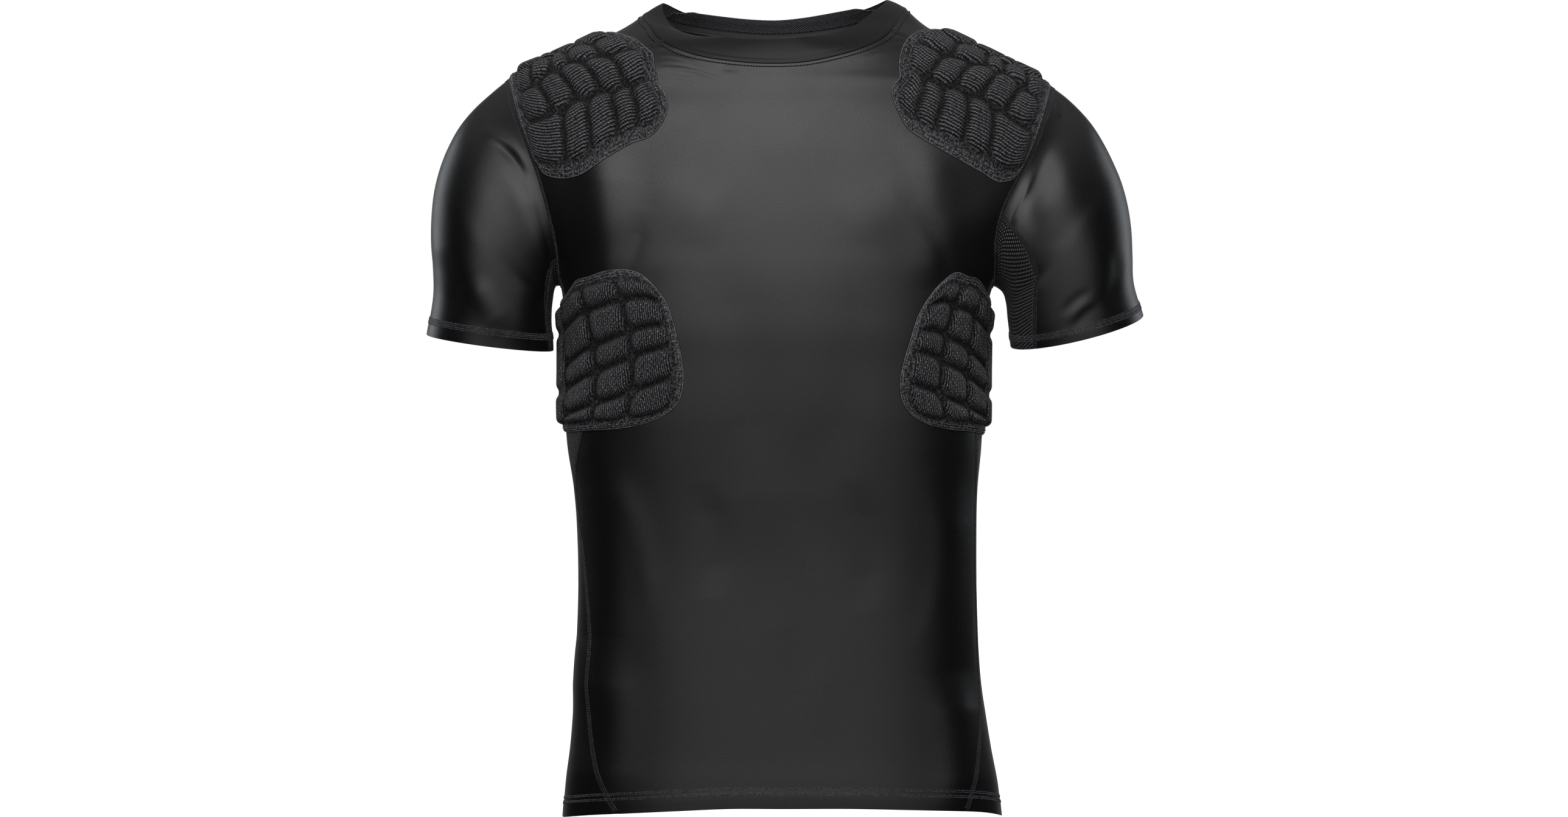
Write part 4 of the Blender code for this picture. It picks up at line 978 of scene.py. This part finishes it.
def shoulder_cells(up, across, wide):
    """Height of a shoulder pad's cells at millimetres up and across it; wide is each row's real width"""
    strips = SHOULDER_STRIPS + SHOULDER_STRIPS[:-1][::-1]
    edges = SHOULDER_BORDER[1] + np.cumsum([0] + [width for width, _ in strips])
    up = up[:, None] + 0 * across
    first, last = SHOULDER_BORDER[0] + 0 * wide, wide - SHOULDER_BORDER[0]
    calm = between(up, edges[0], edges[-1], 18)
    bent = up + calm * (2.6 * np.sin(across / 17.0 + up / 46.0) + 1.6 * np.sin(across / 31.0 - up / 29.0))
    rise = np.zeros_like(up)
    for number, (width, grooves) in enumerate(strips):
        low, high = edges[number], edges[number + 1]
        lean = (6.5 if number % 2 else -5.0) * ((bent - low) / width - 0.5) * ((last - first) / 93.0)
        moved = across + lean * between(across, first, last, 14)
        cuts = [first + share / 20 * (last - first) for share in grooves]
        for left, right in zip(cuts, cuts[1:]):
            rise = with_cell(rise, moved, bent, left, right, low, high)
    return rise


def rib_fan(columns):
    """How strongly the strips of a rib pad lean together at shares of its length"""
    return 1 + (RIB_FAN - 1) * np.clip((1 - np.abs(2 * columns - 1)) * 1.25, 0, 1)**1.3


def rib_cells(shares, across):
    """Height of a rib pad's cells at shares of its strips and millimetres across it"""
    widths = [0, *RIB_BLOCKS, RIB_SIDE_BLOCK, *RIB_BLOCKS[::-1]]
    edges = RIB_BORDER[0] + np.cumsum(widths)
    total = edges[-1] + RIB_BORDER[0]
    share, across = np.meshgrid(shares, across, indexing="ij")
    fan = rib_fan(across / total)
    tall = RIB_HEIGHT - 2 * RIB_BORDER[1]
    up = share**fan * tall
    mirrored = np.where(across > total / 2, -1.0, 1.0)
    calm = between(across, edges[0], edges[-1], 12)
    bent = across + mirrored * calm * (3.2 * np.sin(up / 34.0 + 0.4) - 1.2)
    rise = np.zeros_like(up)
    for number, (left, right) in enumerate(zip(edges, edges[1:])):
        strips = RIB_SIDE_STRIPS if number == len(RIB_BLOCKS) else RIB_STRIPS
        for low, high in zip(strips, strips[1:]):
            rise = with_cell(rise, bent, up, left, right, low**fan * tall, high**fan * tall)
    half_side = RIB_SIDE_BLOCK / 2
    on_side = pillow(bent - total / 2, up - tall / 2, half_side, tall / 2)
    return np.maximum(rise, 0.55 * on_side * (np.abs(bent - total / 2) < half_side))


def with_back(line):
    """A line up to the side or the ridge, carried on over the back"""
    return np.concatenate([line, flip(line)[::-1][1:]])


def shoulder_place(side, rows, columns):
    """Angles and heights on the body under a shoulder pad's rows and columns"""
    front = armhole(side, np.linspace(SHOULDER_START[side], 168, 20), SHOULDER_INSET)
    ridge = np.array([[RIDGE, ridge_height(side, ARMHOLE_HIGH[side][0] - side * SHOULDER_INSET)]])
    outer = with_back(np.concatenate([front, ridge]))
    left, right = spread(outer, rows), spread(with_back(SHOULDER_NECKWARD[side]), rows)
    bottom = spread(np.concatenate([outer[:1], SHOULDER_LOWER[side]]), columns)
    u, v = columns[None, :, None], rows[:, None, None]
    places = (1 - u) * left[:, None] + u * right[:, None]
    for line, far in ((bottom, v), (flip(bottom), 1 - v)):
        places += np.clip(1 - far / PAD_EASE, 0, 1)**1.5 * (line[None] - (1 - u) * line[0] - u * line[-1])
    return places


def rib_place(side, rows, columns):
    """Angles and heights on the body under a rib pad's rows and columns"""
    lower, upper = (with_back(lines[side]) for lines in (RIB_LOWER, RIB_UPPER))
    behind = len(RIB_UPPER[side])
    upper[behind:, 1] = np.minimum(upper[behind:, 1], RIB_BACK_TOP)
    left = np.stack([spread(RIB_FRONT[side], rows[:, c]) for c in range(len(columns))], 1)
    return filled(spread(lower, columns), spread(upper, columns), left, flip(left), columns[None, :, None],
                  rows[..., None])


def soften(values, passes):
    """A grid of values, blurred"""
    for _ in range(passes):
        wide = np.pad(values, 1, mode="edge")
        values = (4 * values + wide[:-2, 1:-1] + wide[2:, 1:-1] + wide[1:-1, :-2] + wide[1:-1, 2:]) / 8
    return values


class Pad:
    """A quilted pad: its fine outer face, and the lines along its border"""

    def __init__(self, kind, side):
        self.kind, self.side = kind, side
        shoulder = kind == "shoulder"
        places, rise = self.shoulder() if shoulder else self.rib()
        rise = soften(rise, 2)
        lift = PAD_LIFT + (NECKWARD_LIFT if shoulder else 0) * (self.across[None] / self.across[-1])**3
        up, across = self.up[:, None], self.across[None]
        to_rim = np.minimum(np.minimum(up, self.up[-1] - up), np.minimum(across, self.across[-1] - across))
        angle, height = side * places[..., 0], places[..., 1]
        sewn = smooth(to_rim, 0, 7)
        under = EDGE_LIFT + (lift - EDGE_LIFT) * sewn
        thick = PAD_EDGE + (PAD_GROOVE - PAD_EDGE) * sewn
        round_rim = -0.7 * (1 - smooth(to_rim, 0, 1.4))
        self.outer = raised(angle, height, under + thick + rise + round_rim)
        self.inner = raised(angle, height, EDGE_LIFT + 0 * rise)
        self.rise = rise / PILLOW
        # painted shade: where a cell's height lies below its blurred height, the grooves between cells are
        # coloured darker
        self.painted_shade = np.clip(GROOVE_SHADE * (soften(rise, SHADE_PASSES) - rise) / PILLOW, 0, 1)
        self.turned = side > 0 if shoulder else side < 0
        out = unit(np.cross(np.gradient(self.outer, axis=1), np.gradient(self.outer, axis=0)))
        self.out = -out if self.turned else out

    def shoulder(self):
        """Places on the body and heights of the cells of a shoulder pad"""
        length = 2 * SHOULDER_BORDER[1] + 2 * sum(w for w, _ in SHOULDER_STRIPS) - SHOULDER_STRIPS[-1][0]
        self.up, self.across = np.linspace(0, length, 216), np.linspace(0, SHOULDER_LENGTH, 94)
        places = shoulder_place(self.side, self.up / length, self.across / self.across[-1])
        flat = body(self.side * places[..., 0], places[..., 1])
        real = np.pad(np.linalg.norm(np.diff(flat, axis=1), axis=-1).cumsum(1), ((0, 0), (1, 0)))
        return places, shoulder_cells(self.up, real, real[:, -1:])

    def rib(self):
        """The same of a rib pad, whose strips fan out towards the side"""
        total = 2 * RIB_BORDER[0] + 2 * sum(RIB_BLOCKS) + RIB_SIDE_BLOCK
        self.across = np.linspace(0, total, 236)
        border, shares = RIB_BORDER[1] / RIB_HEIGHT, np.linspace(0, 1, 98)
        fan = rib_fan(self.across / total)
        inner = border + (1 - 2 * border) * shares[:, None]**fan[None]
        ends = np.linspace(0, border, 8)[:-1, None] + 0 * fan
        rows = np.concatenate([ends, inner, 1 - ends[::-1]])
        rise = np.zeros(rows.shape)
        rise[len(ends):-len(ends)] = rib_cells(shares, self.across)
        self.up = np.concatenate([ends[:, 0], border + (1 - 2 * border) * shares,
                                  1 - ends[::-1, 0]]) * RIB_HEIGHT
        return rib_place(self.side, rows, self.across / total), rise

    def line(self, inset):
        """Points and directions out of the four lines at an inset from the rim"""
        (low_r, high_r), (low_c, high_c) = (
            [np.interp(x, way, np.arange(len(way))) for x in (inset, way[-1] - inset)]
            for way in (self.up, self.across))
        corners = [(low_r, low_c), (low_r, high_c), (high_r, high_c), (high_r, low_c), (low_r, low_c)]
        runs = []
        for (r0, c0), (r1, c1) in zip(corners, corners[1:]):
            r, c = np.linspace(r0, r1, 160), np.linspace(c0, c1, 160)
            i = np.minimum(r.astype(int), len(self.up) - 2)
            j = np.minimum(c.astype(int), len(self.across) - 2)
            a, b = (r - i)[:, None], (c - j)[:, None]
            runs.append(tuple((1 - a) * (1 - b) * g[i, j] + a * (1 - b) * g[i + 1, j]
                              + (1 - a) * b * g[i, j + 1] + a * b * g[i + 1, j + 1]
                              for g in (self.outer, self.out)))
        return runs

    def build(self, name, material):
        """The pad's solid: a fine outer face, a coarse inner one, and the walls between them"""
        rows, columns = self.rise.shape
        keep_r, keep_c = (sorted(set(range(0, count, 6)) | {count - 1}) for count in (rows, columns))
        coarse = np.ix_(keep_r, keep_c)
        index = np.arange(rows * columns).reshape(rows, columns)
        under = rows * columns + np.arange(len(keep_r) * len(keep_c)).reshape(len(keep_r), len(keep_c))
        faces = grid_faces(rows, columns).tolist()
        faces += (grid_faces(len(keep_r), len(keep_c))[:, ::-1] + rows * columns).tolist()
        for kept, low, line, forward in (
                (keep_c, under[0], index[0], True), (keep_c, under[-1], index[-1], False),
                (keep_r, under[:, 0], index[:, 0], False), (keep_r, under[:, -1], index[:, -1], True)):
            for n, (a, b) in enumerate(zip(kept, kept[1:])):
                face = line[a:b + 1][::-1].tolist() + low[n:n + 2].tolist()
                faces.append(face if forward else face[::-1])
        if self.turned:
            faces = [face[::-1] for face in faces]
        fabric = fabric_places(self.inner)
        if self.kind == "rib":
            fabric = fabric[..., [1, 0, 2]]
        points, fabric = (np.concatenate([outer.reshape(-1, 3), inner[coarse].reshape(-1, 3)])
                          for outer, inner in ((self.outer, self.inner), (fabric, fabric)))
        rise, painted_shade = (np.concatenate([values.ravel(), np.zeros(under.size)])
                       for values in (self.rise, self.painted_shade))
        return make(name, points, faces, material, fabric=fabric, tone=painted_shade, rise=rise, sharp=50)


# Lines of the seams, as points and directions out of the cloth

def on_body(places, lift=0.0):
    angle, height = places[..., 0], places[..., 1]
    return raised(angle, height, hem_step(angle, height) + lift), body_normal(angle, height)


def hem_line(above):
    angle = around(-180, 180, 360)
    return on_body(stack(angle, read(HEM, angle) + above))


def cuff_line(side, above):
    """Ring round a sleeve at a distance above its cuff"""
    points, out, to_cuff = sleeve_grid(side, around(0, 360, 160))
    ring, outs = [], []
    for c in range(points.shape[1]):
        at = np.interp(above, to_cuff[::-1, c], np.arange(len(points))[::-1])
        i = min(int(at), len(points) - 2)
        ring.append(points[i, c] + (points[i + 1, c] - points[i, c]) * (at - i))
        outs.append(out[i, c])
    return np.array(ring), unit(np.array(outs))


def seam_lines(side):
    """Runs of the seams on one side: two side seams, armhole, shoulder seam, the gusset's two"""
    front = side_seam(side, around(0.004, 1, 200))
    ring = armhole(side, around(0, 360, 300))
    lines = [on_body(to_side(side, line)) for line in (front, flip(front), ring)]
    lines.append(on_body(shoulder_seam(side, 60)))
    for turn in (GUSSET[side][0], 360 - GUSSET[side][1]):
        points, out, _ = sleeve_grid(side, np.array([turn - 1.0, turn, turn + 1.0]))
        lines.append((points[:, 1], out[:, 1]))
    return lines


def neck_line(above):
    """Line on the body just below the collar"""
    return on_body(at_neck(around(-180, 180, 300), above))


fabric = stretch_fabric("stretch_fabric", (0.0022, 0.0022, 0.0025), (0.0085, 0.0084, 0.0092), 0.335, 0.62)
inside = stretch_fabric("fabric_inside", (0.022, 0.022, 0.024), (0.058, 0.057, 0.062), 0.5, 0.4)
collar_cloth = stretch_fabric("collar_fabric", (0.0025, 0.0025, 0.0028), (0.0085, 0.0084, 0.0092), 0.42, 0.34)
# painted light: the collar's inner face is coloured a much lighter grey than the cloth, standing in for light
# that reaches it through the neck opening
collar_inside_painted_light = stretch_fabric("collar_inside_painted_light", (0.1, 0.1, 0.107), (0.24, 0.237, 0.252), 0.5, 0.4)
# net colours: thread, knots coloured light as a painted highlight, holes coloured dark as painted shade
NET_THREAD, NET_KNOT_HIGHLIGHT, NET_HOLE_SHADE = (0.007, 0.0068, 0.0078), (0.4, 0.39, 0.43), (0.002, 0.002, 0.0023)
vent_net = net("vent_mesh", 0.0030, 0.0018, NET_THREAD, NET_KNOT_HIGHLIGHT, NET_HOLE_SHADE)
gusset_net = net("gusset_mesh", 0.0026, 0.0021, NET_THREAD, NET_KNOT_HIGHLIGHT, NET_HOLE_SHADE, 0.75)
tape_net = net("tape_mesh", 0.0024, 0.0014, (0.09, 0.087, 0.097), (0.55, 0.53, 0.58), (0.02, 0.02, 0.022))
knits = {"shoulder": pad_knit("pad_knit", 0.0029, 0.0024, 0.8),
         "rib": pad_knit("rib_pad_knit", 0.0019, 0.0025, 0.4, (0.0046, 0.0026))}
seam_thread = thread("seam_thread", (0.003, 0.003, 0.004), (0.17, 0.175, 0.21))
pad_thread = thread("pad_thread", (0.01, 0.01, 0.011), (0.5, 0.5, 0.53))
edge_thread = thread("edge_thread", (0.004, 0.004, 0.0045), (0.42, 0.42, 0.45))
# painted shadow: a near-black matt cord laid along the neck seam under the collar's lower edge, where the
# collar's shadow falls
painted_shadow_cord = thread("painted_shadow_cord", (0.001, 0.001, 0.001), (0.004, 0.004, 0.005), 0.9, 0.05, 0.0)
band = overlock("overlock_seam")

# What each sheet shows, as (width, length, flat area) in metres, by the node it stands for
CUTS = {
    "front_panel": (0.47, 0.68, 0.250), "back_panel": (0.50, 0.72, 0.295), "collar": (0.60, 0.027, 0.0145),
    "neck_tape": (0.21, 0.018, 0.0035), "side_panel_right": (0.15, 0.29, 0.033),
    "side_panel_left": (0.12, 0.33, 0.0245), "side_mesh_right": (0.13, 0.19, 0.0165),
    "side_mesh_left": (0.11, 0.15, 0.011), "sleeve_right": (0.37, 0.24, 0.053),
    "sleeve_left": (0.36, 0.24, 0.051), "sleeve_gusset_right": (0.14, 0.14, 0.0096),
    "sleeve_gusset_left": (0.14, 0.12, 0.0086)}


def dress(piece, node=None):
    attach(piece, "root")
    if node:
        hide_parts(node)
    if node in CUTS:
        width, length, area = CUTS[node]


dress(front_panel(fabric), "front_panel")
dress(back_panel(fabric), "back_panel")
dress(collar(collar_cloth), "collar")
dress(neck_tape(tape_net), "neck_tape")

# Rows of stitches: distance from the edge or above the lowest row, and which way they slant
PAD_ROWS = ((2.8, 0.4), (5.4, -0.4))
CUFF_ROWS = ((0, 0.6), (1.6, -0.6), (3.2, 0.6), (4.8, -0.6))
HEM_ROWS = ((11.6, 0.55), (13.0, -0.55), (16.0, 0.55), (17.4, -0.55))
NECK_ROW = 2.6
CORD_INSET = 0.35
EDGE_LOOK = {"radius": 0.37, "tone": (0.15, 1.0)}
seams, pad_stitches = Threads(7), Threads(11)
bands, edges = [], []
for side, word in ((-1, "right"), (1, "left")):
    start = MESH_START[side]
    dress(side_piece(side, f"side_panel_{word}_cloth", 0, start, 90, fabric, inside),
          "side_panel_" + word)
    dress(side_piece(side, f"side_mesh_{word}_net", start, 1, 60, vent_net, None),
          "side_mesh_" + word)
    sleeve, gusset = sleeve_pieces(side, word, fabric, gusset_net)
    dress(sleeve, "sleeve_" + word)
    dress(gusset, "sleeve_gusset_" + word)
    for kind in ("shoulder", "rib"):
        pad = Pad(kind, side)
        dress(pad.build(f"{kind}_pad_{word}_quilt", knits[kind]), f"{kind}_pad_{word}")
        for inset, slant in PAD_ROWS:
            for run in pad.line(inset):
                pad_stitches.chain(*run, pitch=2.5, slant=slant, up=0.12, radius=0.27, tone=(0.1, 1.0))
        edges += pad.line(CORD_INSET)
    for run in seam_lines(side):
        bands.append(run)
        seams.flatlock(*run)
    for above, slant in CUFF_ROWS:
        seams.chain(*cuff_line(side, CUFF_STITCHES[side] + above), pitch=1.7, slant=slant, **EDGE_LOOK)

for above, slant in HEM_ROWS:
    seams.chain(*hem_line(above), pitch=2.0, slant=slant, **EDGE_LOOK)
seams.row(*neck_line(NECK_ROW), pitch=2.7, up=0.4, gap=0.5, radius=0.38, tone=(0.4, 0.8))

for piece in (seam_band("overlocked_seams", bands, 4.8, 0.3, band),
              seams.finish("seam_stitches", seam_thread), pad_stitches.finish("pad_stitches", pad_thread),
              beads("pad_edges", edges, 0.3, edge_thread, 5),
              # the neck's near-black cord is a painted shadow under the collar
              beads("neck_painted_shadow_cord", [neck_line(NECK_ROW)], 0.5, painted_shadow_cord, 9)):
    dress(piece)


# Floor, light and camera

FLOOR_HEIGHT, FLOOR_RADIUS = -0.95, 9.0
BEHIND, ABOVE, ALL_ROUND = 0.3, 0.4, 0.015        # brightness of the world from each way
WHITE, COOL = (1, 1, 1), (0.9, 0.95, 1.0)
# Soft boxes: name, place, what it faces, width and height, brightness and colour
LAMPS = [
    ("high", (-0.15, -1.7, 1.0), (-0.15, 0, 1.0), (2.1, 1.0), 2.55, WHITE),
    ("middle", (-0.15, -1.7, 0.2), (-0.15, 0, 0.2), (2.1, 0.6), 1.5, WHITE),
    ("low", (0.3, -1.7, -0.3), (0.3, 0, -0.3), (3.5, 0.4), 0.9, WHITE),
    ("lowest", (0.3, -1.7, -0.8), (0.3, 0, -0.8), (3.5, 0.6), 0.32, WHITE),
    ("left_edge", (-1.3, 0.8, 0.15), (-0.2, 0, 0.0), (0.6, 0.8), 1.7, COOL),
    ("right_edge", (1.3, 0.8, 0.1), (0.2, 0, -0.05), (0.6, 0.9), 1.4, COOL)]


def studio():
    """Soft light from the front and above, dark sides, and strips that pick out the shoulders' edges"""
    scene = bpy.context.scene
    scene.view_settings.view_transform = "Standard"
    scene.world = bpy.data.worlds.new("studio")
    sky = Nodes(scene.world)
    way = sky.node("TexCoord", output="Generated")
    depth, height = (sky.node("SeparateXYZ", [(0, way)], axis) for axis in (1, 2))
    light = sky.step(depth, 0.75, 1.0, 0.0, BEHIND) + sky.step(height, 0.35, 0.95, 0.0, ABOVE) + ALL_ROUND
    seen = sky.node("LightPath", output="Is Camera Ray")
    background = sky.tree.nodes["Background"].inputs
    sky.put(background["Strength"], sky.node("Mix", [(0, seen), (2, light), (3, 1.0)]))
    sky.put(background["Color"], WHITE)
    for name, spot, target, size, brightness, colour in LAMPS:
        data = bpy.data.lights.new(name, "AREA")
        data.shape, data.size, data.size_y = "RECTANGLE", *size
        data.energy, data.color = brightness * math.pi * size[0] * size[1], colour
        lamp = bpy.data.objects.new(name, data)
        scene.collection.objects.link(lamp)
        lamp.location = spot
        lamp.rotation_euler = (Vector(target) - Vector(spot)).to_track_quat("-Z", "Y").to_euler()
        lamp.visible_camera = False

    bpy.ops.mesh.primitive_circle_add(vertices=96, radius=FLOOR_RADIUS, fill_type="NGON",
                                      location=(0, 0, FLOOR_HEIGHT))
    floor = bpy.context.object
    floor.name = "floor"
    pale = Finish("pale_floor", 1.0, 0.0, 0.0)
    for socket, value in (("Base Color", (0.94, 0.94, 0.94)), ("Emission Color", WHITE),
                          ("Emission Strength", 1.0)):
        pale.put(pale.surface[socket], value)
    floor.data.materials.append(pale.material)
    floor.visible_diffuse = floor.visible_glossy = False

    camera = bpy.data.objects.new("camera", bpy.data.cameras.new("camera"))
    scene.collection.objects.link(camera)
    camera.location = (0, -CAMERA_DISTANCE * MM, (CAMERA_HEIGHT - ORIGIN_HEIGHT) * MM)
    camera.rotation_euler = (math.pi / 2, 0, 0)
    camera.data.lens = camera.data.sensor_width * CAMERA_DISTANCE / FRAME_WIDTH
    scene.camera = camera


studio()
